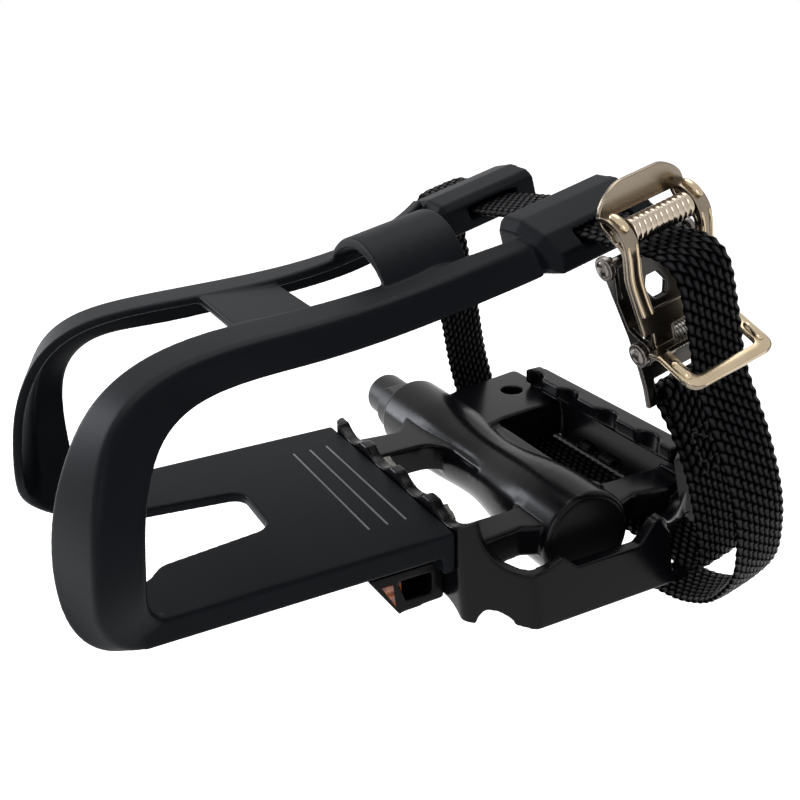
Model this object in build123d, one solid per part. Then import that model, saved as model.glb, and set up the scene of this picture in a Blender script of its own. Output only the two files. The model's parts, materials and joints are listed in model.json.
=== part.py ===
from build123d import *
import math
import os

# Toe clip pedal, left side, in millimetres. X points forward to the toe, Y outboard along the
# spindle, Z up. The origin is on the spindle axis, at the shoulder that meets the crank.

# Spindle and bearings
THREAD_RADIUS = 7.14
THREAD_LENGTH = 12.5
THREAD_CHAMFER = 1.0
COLLAR_RADIUS = 9.4
COLLAR_LENGTH = 8.5
WRENCH_FLATS = 15.0
SHAFT_RADIUS = 5.5
SHAFT_END_RADIUS = 4.0
CONE_RADIUS = 6.7
BALL_RADIUS = 1.98
BALLS_PER_RACE = 10
INBOARD_BALL_CIRCLE = 7.7
INBOARD_BALL_Y = 15.0
OUTBOARD_BALL_CIRCLE = 6.6
OUTBOARD_BALL_Y = 90.0
RUNNING_CLEARANCE = 0.06
CUP_WALL = 2.7
CUP_LIP = 0.6
CUP_HALF_WIDTH = 3.2
ADJUSTER_RADIUS = 5.9
ADJUSTER_LENGTH = 6.0
LOCK_WASHER_RADIUS = 6.8
LOCK_WASHER_THICKNESS = 1.0
LOCK_NUT_FLATS = 11.0
LOCK_NUT_THICKNESS = 3.0
SHAFT_PROUD = 0.6
SEAL_THICKNESS = 1.6
SEAL_CLEARANCE = 0.3
COLLAR_GAP = 0.4

# Cast body
BARREL_END = 105.2
NECK_RADIUS = 12.0
WAIST_RADIUS = 9.9
BOSS_RADIUS = 13.2
BOSS_LENGTH = 13.0
BORE_RADIUS = 7.4
DUST_CAP_RADIUS = 12.0
DUST_CAP_THICKNESS = 3.0
CAGE_FRONT = 37.0
CAGE_REAR = 39.0
CAGE_START = 27.0
CAGE_END_TOP = 111.0
CAGE_END_BOTTOM = 116.5
CORNER_LENGTH = 12.0
CORNER_WIDTH = 14.0
CAGE_ROUND = 4.0
WALL = 3.4
WALL_TOP = 13.3
REAR_WALL_TOP = 15.0
WALL_BOTTOM = -13.3
TOOTH_COUNT = 5
TOOTH_DEPTH = 2.6
TOOTH_LAND = 4.0
TOOTH_INSET = 2.7
TOOTH_END = 6.4
LIP_WIDTH = 6.8
LIP_DEPTH = 4.0
LIP_TAPER = 4.0
SCALLOP_RADIUS = 5.7
SCALLOP_DEPTH = 3.0
SCALLOP_START = 31.9
END_PEAK_X = 16.0
END_PEAK_Z = 4.3
END_NOTCH_X = 9.5
END_NOTCH_Z = -0.6
END_SCOOP_Z = 0.6
END_SCOOP_RADIUS = 13.0
END_ROUND = 0.9
HORN_X = 32.6
HORN_Y = 103.2
STRAP_SCOOP_Z = -9.9
ARM_TOP = 6.0
ARM_BOTTOM = -2.4
ARM_FLARE = 8.0
ARM_ROUND = 2.0
ARM_EDGE_ROUND = 1.0
INBOARD_ARM = (31.0, 44.0)
OUTBOARD_ARM = (90.5, 100.0)
WINDOW_SIDE = 9.0
WINDOW_ROUND = 8.0
GUSSET_TOP = 9.0
GUSSET_START = 12.0
CORNER_HOLE_RADIUS = 3.6
CORNER_HOLE = (-27.0, 27.5)
CORNER_NOTCH = 4.0
CORNER_SWEEP = 16.0
RIM_SIDE = 11.3
RIM_TOP = 7.5
RIM_BOTTOM = -1.7
STRAP_WALL_TOP = 5.0
STRAP_WALL_DROP = 3.8
STRAP_WALL_BOTTOM = -4.2

# Toe clip moulding
CLIP_CENTRE = 63.6
SEAT = 0.02
PLATE_TOP = 10.6
PLATE_THICKNESS = 2.8
PLATE_HALF_WIDTH = 37.4
PLATE_REACH = 77.0
SKIRT_DEPTH = 6.3
SKIRT_WALL = 2.6
NOTCH_START = 38.0
NOTCH_HALF_WIDTH = 10.8
NOTCH_SPREAD = 4.0
NOTCH_ROUND = 4.5
NOTCH_THROAT = 10.0
NOTCH_MOUTH = 28.0
LINE_WIDTH = 0.6
LINE_DEPTH = 0.35
LINE_LENGTH = 50.0
LINE_START = 7.2
LINE_PITCH = 5.1
RAIL_THICKNESS = 2.8
RAIL_ROUND = 2.6
RAIL_EDGE_ROUND = 0.9
RAIL_SECTIONS = 18
CROSS_PLATE_START = 22.5
CROSS_PLATE_WIDTH = 20.5
CROSS_PLATE_LIFT = 54.4
BRIDGE_START = 6.0
BRIDGE_LENGTH = 22.0
BRIDGE_LIFT = 57.0
BRIDGE_CLIMB = 4.6
BRIDGE_RISE = 9.0
BRIDGE_INSET = 20.4
FLANGE_THICKNESS = 3.4
FLANGE_DEPTH = 10.8

# Guide lines of the clip's rail: reach ahead of the cage, offset from the plate's side, lift
# above the plate. The corner line is the outside corner, the flange line the edge nearest the
# foot's centre, and the web line the edge nearest the heel.
CORNER_GUIDE = [(73, 0, -5.6), (84, 1.2, -0.5), (85.8, 4.4, 9.4), (83.5, 5.2, 29.4), (75, -1.4, 46.4),
                (53, -9.4, 53.4), (29, -11.9, 54.8), (-15, -10.4, 61.9), (-27, -5.4, 66.4)]
FLANGE_GUIDE = [(76, -5.5, -6.4), (90, -3.5, -0.5), (92, -9.4, 11), (89, -10.4, 28.4), (78.5, -14.7, 45.7),
                (55, -22.9, 53.7), (29, -24.9, 55.2), (-13, -19.4, 62.6), (-26, -12.4, 67.7)]
WEB_GUIDE = [(68, 0, -1.2), (74.2, 1.8, 3), (75.8, 6.4, 12.5), (73.8, 7.6, 30.4), (66, -0.4, 41.4),
             (50.5, -8.9, 45.1), (29, -9.9, 46.8), (-17, -8.9, 54.4), (-28, -4.4, 58.9)]

# Clip fasteners
BOLT_PLACES = (50.2, 83.5)
BOLT_Z = 3.9
BOLT_RADIUS = 2.5
BOLT_CLEARANCE = 0.2
BOLT_HEAD_RADIUS = 3.3
BOLT_HEAD_THICKNESS = 2.4
BOLT_PROUD = 1.2
NUT_FLATS = 8.0
NUT_THICKNESS = 3.2
WASHER_RADIUS = 4.6
WASHER_THICKNESS = 1.0

# Reflectors
REFLECTOR_HALF_WIDTH = 31.0
REFLECTOR_TOP = -0.3
REFLECTOR_BOTTOM = -12.2
REFLECTOR_FOOT = 13.0
REFLECTOR_BROW = 21.0
REFLECTOR_WALL = 2.0
LENS_THICKNESS = 2.4
LENS_RECESS = 0.6
TAB_SPACING = 11.0
TAB_WIDTH = 6.0
TAB_THICKNESS = 1.8
TAB_BARB = 1.0
TAB_CLEARANCE = 0.15

# Strap. Its path lies in a plane that leans forward from the pedal up to the loops; points in
# that plane are given as distance outboard, then distance up along the lean.
STRAP_LEAN = 14.6
STRAP_X = -26.1
STRAP_WIDTH = 15.0
STRAP_THICKNESS = 2.2
STRAP_FLOOR = -6.4
STRAP_TOP = 83.2
STRAP_FAR = 7.0
FAR_DROP = 3.5
LOOP_FRONT = 17.0
LOOP_REAR = 14.0
LOOP_SLOT_CLEARANCE = 0.5
LOOP_OVERHANG = 1.2
LOOP_DEPTH = 24.6
LOOP_CHAMFER = 2.4

# Buckle, in the plane of the strap
PIVOT_SIDE = 57.6
PIVOT_DROP = 22.5
ANVIL_INSET = 7.2
ANVIL_GAP = 0.2
ROLLER_INSET = 1.8
ROLLER_GAP = 1.5
ROLLER_RADIUS = 3.0
ROLLER_OVERHANG = 0.7
ROLLER_END_GAP = 0.2
ROLLER_GROOVES = 10
ROLLER_GROOVE_WIDTH = 0.6
ROLLER_GROOVE_DEPTH = 0.45
ROLLER_PIN_RADIUS = 1.2
PIN_RADIUS = 1.5
RIVET_RADIUS = 2.9
RIVET_THICKNESS = 1.4
BUSH_RADIUS = 2.2
BUSH_CLEARANCE = 0.05
KNUCKLE_WALL = 1.3
EAR_THICKNESS = 1.4
EAR_RADIUS = 3.2
EAR_GAP = 0.3
FRAME_SIDE = 3.5
FRAME_THICKNESS = 1.4
FRAME_DROP = 15.1
FRAME_SET_BACK = 1.2
FRAME_BAR = 2.4
FRAME_SLOT = 4.4
FRAME_BEND = 5.0
FRAME_HOLE = 6.0
LEVER_ARM = 3.4
LEVER_THICKNESS = 1.2
LEVER_BEND = 3.0
LEVER_TIP_ROUND = 6.0
LEVER_TIP_RISE = 10.2
LEVER_TIP_INSET = 6.4
LUG_RADIUS = 2.4
KEEPER_SIDE = 4.5
KEEPER_LENGTH = 17.2
KEEPER_BAR = 1.8
KEEPER_BEND = 4.0
KEEPER_ROUND = 3.0
SPRING_WIRE = 0.45
SPRING_TURNS = 8
SPRING_SIDE_GAP = 0.4
HUMP_REACH = 11.2

# Values that follow from the ones above
BARREL_START = COLLAR_LENGTH + COLLAR_GAP
PIVOT_Y = CLIP_CENTRE + PIVOT_SIDE
PIVOT_U = STRAP_TOP - PIVOT_DROP
ANVIL_Y = PIVOT_Y - ANVIL_INSET
ANVIL_U = STRAP_TOP - STRAP_THICKNESS / 2 - PIN_RADIUS - ANVIL_GAP
ROLLER_Y = PIVOT_Y - ROLLER_INSET
ROLLER_U = STRAP_TOP + STRAP_THICKNESS / 2 + ROLLER_RADIUS + ROLLER_GAP
ROLLER_LENGTH = STRAP_WIDTH + 2 * ROLLER_OVERHANG
KNUCKLE_LENGTH = STRAP_WIDTH
FRAME_WIDTH = KNUCKLE_LENGTH + 2 * FRAME_SIDE
FRAME_FOOT_Y = PIVOT_Y - FRAME_SET_BACK
FRAME_FOOT_U = PIVOT_U - FRAME_DROP
LEVER_WIDTH = ROLLER_LENGTH + 2 * (ROLLER_END_GAP + LEVER_ARM)
KEEPER_WIDTH = STRAP_WIDTH + 2 * KEEPER_SIDE
KEEPER_END = PIVOT_Y + KEEPER_LENGTH
SPRING_LENGTH = 2 * SPRING_WIRE * SPRING_TURNS
STRAP_HUMP = PIVOT_Y + HUMP_REACH
LOOP_OUTER = CLIP_CENTRE + PLATE_HALF_WIDTH + LOOP_OVERHANG
LOOP_INNER = LOOP_OUTER - LOOP_DEPTH
INBOARD_CUP_RADIUS = INBOARD_BALL_CIRCLE + CUP_WALL
OUTBOARD_CUP_RADIUS = OUTBOARD_BALL_CIRCLE + CUP_WALL
ADJUSTER_END = OUTBOARD_BALL_Y + ADJUSTER_LENGTH
LOCK_NUT_START = ADJUSTER_END + LOCK_WASHER_THICKNESS
LOCK_NUT_END = LOCK_NUT_START + LOCK_NUT_THICKNESS
SHAFT_END = LOCK_NUT_END + SHAFT_PROUD
PLATE_BACK = CAGE_FRONT + SEAT
BRIDGE_HALF_WIDTH = PLATE_HALF_WIDTH - BRIDGE_INSET
TOOTH_PITCH = (CAGE_END_TOP - CAGE_START - TOOTH_INSET - TOOTH_END) / (TOOTH_COUNT - 1)
STRAP_FRAME = Plane(origin=(STRAP_X, 0, 0), x_dir=(0, 1, 0),
                    z_dir=(math.cos(math.radians(STRAP_LEAN)), 0,
                           -math.sin(math.radians(STRAP_LEAN))))
ROOM = 200.0


def turned(points):
    """Solid turned about the spindle axis from (radius, y) points."""
    return revolve(make_face(Polyline(*points, close=True)), Axis.Y)


def ring(inner, outer, start, end):
    """Plain ring about the spindle axis."""
    return turned([(inner, start), (outer, start), (outer, end), (inner, end)])


def race(circle, y):
    """Groove that a row of balls runs in."""
    groove = Pos(circle, y) * Circle(BALL_RADIUS + RUNNING_CLEARANCE)
    return revolve(groove, Axis.Y)


def ball_row(circle, y):
    """One row of balls about the spindle axis."""
    balls = []
    for index in range(BALLS_PER_RACE):
        angle = 2 * math.pi * index / BALLS_PER_RACE
        place = Pos(circle * math.cos(angle), y, circle * math.sin(angle))
        balls.append(place * Sphere(BALL_RADIUS))
    return Compound(children=balls)


def prism_y(points, start, end):
    """Prism along Y from (x, z) points."""
    face = make_face(Polyline(*[(x, start, z) for x, z in points], close=True))
    return extrude(face, amount=end - start, dir=(0, 1, 0))


def prism_z(points, bottom, top):
    """Prism along Z from (x, y) points."""
    face = make_face(Polyline(*[(x, y, bottom) for x, y in points], close=True))
    return extrude(face, amount=top - bottom, dir=(0, 0, 1))


def box(x, y, z):
    """Block from three (low, high) ranges."""
    size = [high - low for low, high in (x, y, z)]
    middle = [(high + low) / 2 for low, high in (x, y, z)]
    return Pos(*middle) * Box(*size)


def rod_x(radius, start, end, y, z):
    """Round bar along X."""
    return Pos((start + end) / 2, y, z) * Rot(0, 90, 0) * Cylinder(radius, end - start)


def rod_w(radius, low, high, y, u):
    """Round bar across the strap, in the plane of the strap."""
    return Pos(y, u, (low + high) / 2) * Cylinder(radius, high - low)


def in_strap_frame(shape):
    """Carry a shape drawn in the plane of the strap to its place on the pedal."""
    return STRAP_FRAME.location * shape


def both_sides(shape):
    """A shape and its mirror about the clip's centre plane."""
    return shape + mirror(shape, about=Plane((0, CLIP_CENTRE, 0), z_dir=(0, 1, 0)))


def save(shape, name):
    shape.label = name
    export_step(shape, f"parts/{name}.step")


def make_spindle():
    spindle = turned([
        (0, -THREAD_LENGTH), (THREAD_RADIUS - THREAD_CHAMFER, -THREAD_LENGTH),
        (THREAD_RADIUS, -THREAD_LENGTH + THREAD_CHAMFER), (THREAD_RADIUS, 0),
        (COLLAR_RADIUS, 0), (COLLAR_RADIUS, COLLAR_LENGTH), (CONE_RADIUS, COLLAR_LENGTH),
        (CONE_RADIUS, INBOARD_BALL_Y), (SHAFT_RADIUS, INBOARD_BALL_Y + BALL_RADIUS),
        (SHAFT_RADIUS, OUTBOARD_BALL_Y - 4 * BALL_RADIUS),
        (SHAFT_END_RADIUS, OUTBOARD_BALL_Y - 2 * BALL_RADIUS),
        (SHAFT_END_RADIUS, SHAFT_END), (0, SHAFT_END)])
    spindle -= race(INBOARD_BALL_CIRCLE, INBOARD_BALL_Y)
    for side in (-1, 1):
        flat = side * (WRENCH_FLATS / 2 + COLLAR_RADIUS)
        spindle -= Pos(0, COLLAR_LENGTH / 2, flat) * Box(
            2 * COLLAR_RADIUS, COLLAR_LENGTH, 2 * COLLAR_RADIUS)
    return spindle


def make_cup(circle, radius, y):
    cup = ring(circle + CUP_LIP, radius, y - CUP_HALF_WIDTH, y + CUP_HALF_WIDTH)
    return cup - race(circle, y)


def make_lock_nut():
    nut = RegularPolygon(LOCK_NUT_FLATS / 2, 6, major_radius=False)
    face = Plane((0, LOCK_NUT_START, 0), z_dir=(0, 1, 0)) * nut
    return extrude(face, LOCK_NUT_THICKNESS) - ring(
        0, SHAFT_END_RADIUS, LOCK_NUT_START - 1, LOCK_NUT_END + 1)


def cage_outline(inset, end):
    """Plan outline of the cage, open side inboard, drawn inset by a wall."""
    start = CAGE_START - (ROOM if inset else 0)
    front = CAGE_FRONT - inset
    rear = -CAGE_REAR + inset
    trim = 0.4 * inset
    return [(front, start), (front, end - CORNER_LENGTH - trim),
            (front - CORNER_WIDTH + inset - trim, end - inset),
            (rear + CORNER_WIDTH - inset + trim, end - inset),
            (rear, end - CORNER_LENGTH - trim), (rear, start)]


def cage_solid(inset):
    sections = []
    for height, end in ((WALL_BOTTOM, CAGE_END_BOTTOM), (REAR_WALL_TOP, CAGE_END_TOP)):
        wire = FilletPolyline(*cage_outline(inset, end), radius=CAGE_ROUND, close=True)
        sections.append(Pos(0, 0, height) * make_face(wire))
    return loft(sections, ruled=True)


def make_window(near, far):
    """Window between the barrel and a cage wall, widely rounded on the barrel's side."""
    start = INBOARD_ARM[1]
    end = OUTBOARD_ARM[0]
    outline = FilletPolyline((far, start), (near, start), (near, end), (far, end), radius=WINDOW_ROUND)
    return make_face([outline, Line((far, end), (far, start))])


def make_web():
    """Web that carries the barrel in the cage, with a window on each side of the barrel."""
    front = CAGE_FRONT - WALL / 2
    rear = -CAGE_REAR + WALL / 2
    start = INBOARD_ARM[0]
    end = OUTBOARD_ARM[1]
    neck = NECK_RADIUS - 2
    outline = FilletPolyline(
        (front, start - 2), (front / 2, start), (neck, start - ARM_FLARE), (-neck, start - ARM_FLARE),
        (rear / 2, start), (rear, start - 2), (rear, end + 2), (rear / 2, end), (-BOSS_RADIUS, end + 2),
        (BOSS_RADIUS, end + 2), (front / 2, end), (front, end + 2), radius=ARM_ROUND, close=True)
    face = make_face(outline)
    face -= make_window(WINDOW_SIDE, CAGE_FRONT)
    face -= make_window(-WINDOW_SIDE, -CAGE_REAR)
    web = extrude(Pos(0, 0, ARM_BOTTOM) * face, ARM_TOP - ARM_BOTTOM)
    return fillet(web.edges().group_by(Axis.Z)[-1], ARM_EDGE_ROUND)


def make_gusset():
    """Raised corner plate at the rear inboard arm, with its hole."""
    wall = -CAGE_REAR + 0.5
    outline = FilletPolyline(
        (-4, GUSSET_START + 9), (-13, GUSSET_START + 5), (-29, GUSSET_START + 2), (wall, GUSSET_START),
        (wall, INBOARD_ARM[1] - 1), (wall + 13, INBOARD_ARM[1] - 0.5), (-13, INBOARD_ARM[1] + 1),
        (-4, INBOARD_ARM[1] + 4), radius=ARM_ROUND, close=True)
    gusset = extrude(Pos(0, 0, ARM_BOTTOM) * make_face(outline), GUSSET_TOP - ARM_BOTTOM)
    gusset = fillet(gusset.edges().group_by(Axis.Z)[-1], ARM_EDGE_ROUND)
    return gusset - Pos(CORNER_HOLE[0], CORNER_HOLE[1], ARM_TOP) * Cylinder(CORNER_HOLE_RADIUS, ROOM / 4)


def make_barrel():
    """Barrel turned with a long waist between its neck and its boss."""
    boss = BARREL_END - BOSS_LENGTH
    neck = INBOARD_ARM[0] - 4
    inboard = Polyline((0, BARREL_START), (NECK_RADIUS - 1, BARREL_START), (NECK_RADIUS, BARREL_START + 1),
                       (NECK_RADIUS, neck))
    waist = Spline((NECK_RADIUS, neck), (WAIST_RADIUS, (neck + boss) / 2), (BOSS_RADIUS, boss),
                   tangents=((0, 1), (0, 1)))
    outboard = Polyline((BOSS_RADIUS, boss), (BOSS_RADIUS, BARREL_END - 1), (BOSS_RADIUS - 1, BARREL_END),
                        (0, BARREL_END), (0, BARREL_START))
    return revolve(make_face([inboard, waist, outboard]), Axis.Y)


def cut_teeth(body):
    """Scallop the front wall between its teeth, above and below."""
    chord = TOOTH_PITCH - TOOTH_LAND
    radius = (chord * chord / 4 + TOOTH_DEPTH * TOOTH_DEPTH) / (2 * TOOTH_DEPTH)
    for index in range(TOOTH_COUNT - 1):
        y = CAGE_START + TOOTH_INSET + (index + 0.5) * TOOTH_PITCH
        for edge, side in ((WALL_TOP, 1), (WALL_BOTTOM, -1)):
            z = edge + side * (radius - TOOTH_DEPTH)
            body -= rod_x(radius, CAGE_FRONT - 2 * WALL, CAGE_FRONT + WALL, y, z)
    return body


def make_rear_lip():
    """Thick lip along the top of the rear wall, scalloped on its inner side."""
    wall = -CAGE_REAR
    inner = wall + LIP_WIDTH
    low = REAR_WALL_TOP - LIP_DEPTH
    end = CAGE_END_TOP - CORNER_LENGTH - 1
    lip = prism_y([(wall + 0.5, REAR_WALL_TOP), (inner, REAR_WALL_TOP), (inner, low),
                   (wall + 0.5, low - LIP_TAPER)], CAGE_START, end)
    for index in range(TOOTH_COUNT - 1):
        y = SCALLOP_START + index * TOOTH_PITCH
        x = inner - SCALLOP_DEPTH + SCALLOP_RADIUS
        lip -= Pos(x, y, low) * Cylinder(SCALLOP_RADIUS, ROOM / 4)
    return lip


def cut_end(body):
    """Shape the top and bottom of the outboard end."""
    start = CAGE_END_TOP - CORNER_LENGTH + 5
    scoop_rear = -CAGE_REAR + 2.2
    strap_side = STRAP_X + STRAP_WIDTH / 2 - 1.2
    top = [
        (END_PEAK_X + 1, ROOM), (END_PEAK_X + 1, END_PEAK_Z), (END_PEAK_X - 1, END_PEAK_Z),
        (END_NOTCH_X, END_NOTCH_Z), (-END_NOTCH_X, END_NOTCH_Z),
        (1 - END_PEAK_X, END_PEAK_Z), (-1 - END_PEAK_X, END_PEAK_Z),
        (strap_side, END_SCOOP_Z), (strap_side, STRAP_SCOOP_Z), (scoop_rear, STRAP_SCOOP_Z),
        (scoop_rear, ROOM)]
    profile = FilletPolyline(*[(x, start, z) for x, z in top], radius=END_ROUND, close=True)
    body -= extrude(make_face(profile), ROOM, dir=(0, 1, 0))
    body -= box((scoop_rear, strap_side), (start - CORNER_LENGTH, ROOM), (STRAP_SCOOP_Z, ARM_BOTTOM))
    return body - corner_cut(1) - corner_cut(-1)


def corner_cut(side):
    """Sweep along a slanted corner: the scoop above it at the front, and the horn's notch below it."""
    run = math.hypot(CORNER_LENGTH, CORNER_WIDTH)
    along = (-side * CORNER_WIDTH / run, CORNER_LENGTH / run, 0)
    out = (side * CORNER_LENGTH / run, CORNER_WIDTH / run, 0)
    corner = Plane((side * HORN_X, HORN_Y, 0), x_dir=along, z_dir=(side * out[0], side * out[1], 0))
    deep = CORNER_NOTCH
    low = WALL_BOTTOM
    notch = Spline((0.4, low), (deep, low + deep), (2.4 * deep, low + deep / 2.2), (CORNER_SWEEP, low - 0.1),
                   tangents=((0.3, 1), (1, -0.12)))
    close = Polyline(notch @ 1, (CORNER_SWEEP, low - deep), (0.4, low - deep), notch @ 0)
    cut = extrude(corner * make_face([notch, close]), CORNER_WIDTH, both=True)
    if side > 0:
        scoop = Pos(END_SCOOP_RADIUS + 0.2, END_SCOOP_Z + END_SCOOP_RADIUS) * Circle(END_SCOOP_RADIUS)
        cut += extrude(corner * scoop, CORNER_WIDTH, both=True)
    return cut


def make_rim():
    """Raised rim of the rear window along the barrel."""
    outline = FilletPolyline(
        (-3, INBOARD_ARM[0] - 2), (-RIM_SIDE, INBOARD_ARM[1] - 5), (-RIM_SIDE, OUTBOARD_ARM[0] - 2),
        (-RIM_SIDE - 4, OUTBOARD_ARM[0] + 3), (-3, OUTBOARD_ARM[0] + 5.4), radius=ARM_ROUND, close=True)
    rim = extrude(Pos(0, 0, RIM_BOTTOM) * make_face(outline), RIM_TOP - RIM_BOTTOM)
    return fillet(rim.edges().group_by(Axis.Z)[-1], ARM_EDGE_ROUND)


def make_strap_wall():
    """Slanted wall at the rear outboard corner, inboard of the strap, with a dipped top."""
    end = CAGE_END_TOP + 2.5
    peak = -END_PEAK_X
    rear = -CAGE_REAR + WALL / 2
    wall = prism_z([(peak, end - 0.6), (peak - 3, end - 0.6), (rear, end - CORNER_LENGTH),
                    (rear, end - CORNER_LENGTH - WALL), (peak, end - WALL)],
                   STRAP_WALL_BOTTOM, STRAP_WALL_TOP)
    middle = (peak - CAGE_REAR + WALL) / 2
    half = CAGE_REAR / 5
    radius = (half * half + STRAP_WALL_DROP ** 2) / (2 * STRAP_WALL_DROP)
    dip = Pos(middle, end - CORNER_LENGTH, STRAP_WALL_TOP + radius - STRAP_WALL_DROP)
    return wall - dip * Rot(90, 0, 0) * Cylinder(radius, 4 * CORNER_LENGTH)


def make_pedal_body():
    body = cage_solid(0) - cage_solid(WALL)
    body -= box((0, ROOM), (0, ROOM), (WALL_TOP, ROOM))
    body = cut_end(cut_teeth(body))
    body += make_rear_lip()
    body += make_web()
    body += make_gusset()
    body += make_rim()
    body += make_strap_wall()
    body += make_barrel()
    body -= turned([
        (0, BARREL_START - 1), (INBOARD_CUP_RADIUS, BARREL_START - 1),
        (INBOARD_CUP_RADIUS, INBOARD_BALL_Y + CUP_HALF_WIDTH),
        (BORE_RADIUS, INBOARD_BALL_Y + CUP_HALF_WIDTH),
        (BORE_RADIUS, OUTBOARD_BALL_Y - CUP_HALF_WIDTH),
        (OUTBOARD_CUP_RADIUS, OUTBOARD_BALL_Y - CUP_HALF_WIDTH),
        (OUTBOARD_CUP_RADIUS, BARREL_END - DUST_CAP_THICKNESS),
        (DUST_CAP_RADIUS, BARREL_END - DUST_CAP_THICKNESS),
        (DUST_CAP_RADIUS, BARREL_END + 1), (0, BARREL_END + 1)])
    for y in BOLT_PLACES:
        body -= rod_x(BOLT_RADIUS + BOLT_CLEARANCE, CAGE_FRONT - 2 * WALL, CAGE_FRONT + 1, y, BOLT_Z)
    for side in (-1, 1):
        tab_y = CLIP_CENTRE + side * TAB_SPACING / 2
        half = TAB_WIDTH / 2 + TAB_CLEARANCE
        for x in (CAGE_FRONT - WALL / 2, -CAGE_REAR + WALL / 2):
            body -= box((x - WALL, x + WALL), (tab_y - half, tab_y + half),
                        (tab_bottom() - TAB_CLEARANCE, tab_bottom() + TAB_THICKNESS + TAB_CLEARANCE))
    return body


def tab_bottom():
    return REFLECTOR_TOP - TAB_THICKNESS - 0.2


def make_dust_cap():
    inner = DUST_CAP_RADIUS - 1.6
    base = BARREL_END - DUST_CAP_THICKNESS
    return turned([
        (0, base + 1.4), (inner, base + 1.4), (inner, base), (DUST_CAP_RADIUS, base),
        (DUST_CAP_RADIUS, BARREL_END - 0.4), (DUST_CAP_RADIUS - 0.6, BARREL_END),
        (0, BARREL_END)])


def rail_point(guide, fraction):
    """Point on one of the rail's guide lines, in pedal coordinates."""
    curve = Spline(*[
        (CAGE_FRONT + reach, CLIP_CENTRE + PLATE_HALF_WIDTH + offset, PLATE_TOP + lift)
        for reach, offset, lift in guide])
    return curve @ fraction


def rail_section(fraction):
    """Angle-iron section of the rail with a rounded outside corner."""
    corner = rail_point(CORNER_GUIDE, fraction)
    flange = rail_point(FLANGE_GUIDE, fraction)
    web = rail_point(WEB_GUIDE, fraction)
    along_flange = (flange - corner).normalized()
    along_web = (web - corner).normalized()
    cosine = along_flange.dot(along_web)
    sine = math.sqrt(1 - cosine * cosine)
    into_flange = (along_web - along_flange * cosine).normalized() * RAIL_THICKNESS
    into_web = (along_flange - along_web * cosine).normalized() * RAIL_THICKNESS
    inside = corner + (along_flange + along_web) * (RAIL_THICKNESS / sine)
    edge = RAIL_EDGE_ROUND
    corners = [(flange, edge), (corner, RAIL_ROUND), (web, edge), (web + into_web, edge),
               (inside, RAIL_ROUND / 2), (flange + into_flange, edge)]
    return make_face(Polyline(*rounded_outline(corners), close=True))


def rounded_outline(corners):
    """Closed outline with each corner eased by its radius in two short steps."""
    points = []
    for index, (corner, radius) in enumerate(corners):
        before = (corners[index - 1][0] - corner).normalized()
        after = (corners[(index + 1) % len(corners)][0] - corner).normalized()
        half = math.acos(max(-1, min(1, before.dot(after)))) / 2
        reach = radius / math.tan(half)
        middle = (before + after).normalized() * (radius / math.sin(half) - radius)
        points += [corner + before * reach, corner + middle, corner + after * reach]
    return points


def make_rail():
    steps = RAIL_SECTIONS - 1
    return loft([rail_section(index / steps) for index in range(RAIL_SECTIONS)])


def make_loop():
    """Block at the heel end of a rail, with the slot that the strap runs through."""
    outline = [
        (LOOP_INNER, STRAP_TOP - 4.5), (LOOP_INNER, STRAP_TOP + 2.6),
        (LOOP_INNER + 2.5, STRAP_TOP + 4.4), (LOOP_INNER + 10, STRAP_TOP + 4.8),
        (LOOP_OUTER - 5.6, STRAP_TOP + 2.8), (LOOP_OUTER, STRAP_TOP - 1),
        (LOOP_OUTER - 0.4, STRAP_TOP - 6), (LOOP_OUTER - 12.6, STRAP_TOP - 9)]
    face = make_face(Polyline(*[(y, u, -LOOP_REAR) for y, u in outline], close=True))
    block = extrude(face, LOOP_FRONT + LOOP_REAR, dir=(0, 0, 1))
    front = block.edges().group_by(Axis.Z)[-1]
    return in_strap_frame(chamfer(front, LOOP_CHAMFER))


def far_drop():
    """Step down the strap's lean from the near loop to the far one."""
    lean = math.radians(STRAP_LEAN)
    return Pos(-FAR_DROP * math.sin(lean), 0, -FAR_DROP * math.cos(lean))


def far_loop():
    middle = Plane(origin=(0, CLIP_CENTRE, 0), z_dir=(0, 1, 0))
    return far_drop() * mirror(make_loop(), about=middle)


def make_bridge():
    x = CAGE_FRONT + BRIDGE_START
    z = PLATE_TOP + BRIDGE_LIFT
    low = [(x, CLIP_CENTRE + side * BRIDGE_HALF_WIDTH, z) for side in (-1, 1)]
    thick = RAIL_THICKNESS
    outer = ThreePointArc(low[0], (x, CLIP_CENTRE, z + BRIDGE_RISE), low[1])
    inner = ThreePointArc((x, low[1][1], z - thick), (x, CLIP_CENTRE, z + BRIDGE_RISE - thick),
                          (x, low[0][1], z - thick))
    ends = [Line(outer @ 1, inner @ 0), Line(inner @ 1, outer @ 0)]
    face = make_face([outer, inner] + ends)
    length = math.hypot(BRIDGE_LENGTH, BRIDGE_CLIMB)
    return extrude(face, length, dir=(-BRIDGE_LENGTH / length, 0, BRIDGE_CLIMB / length))


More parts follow.
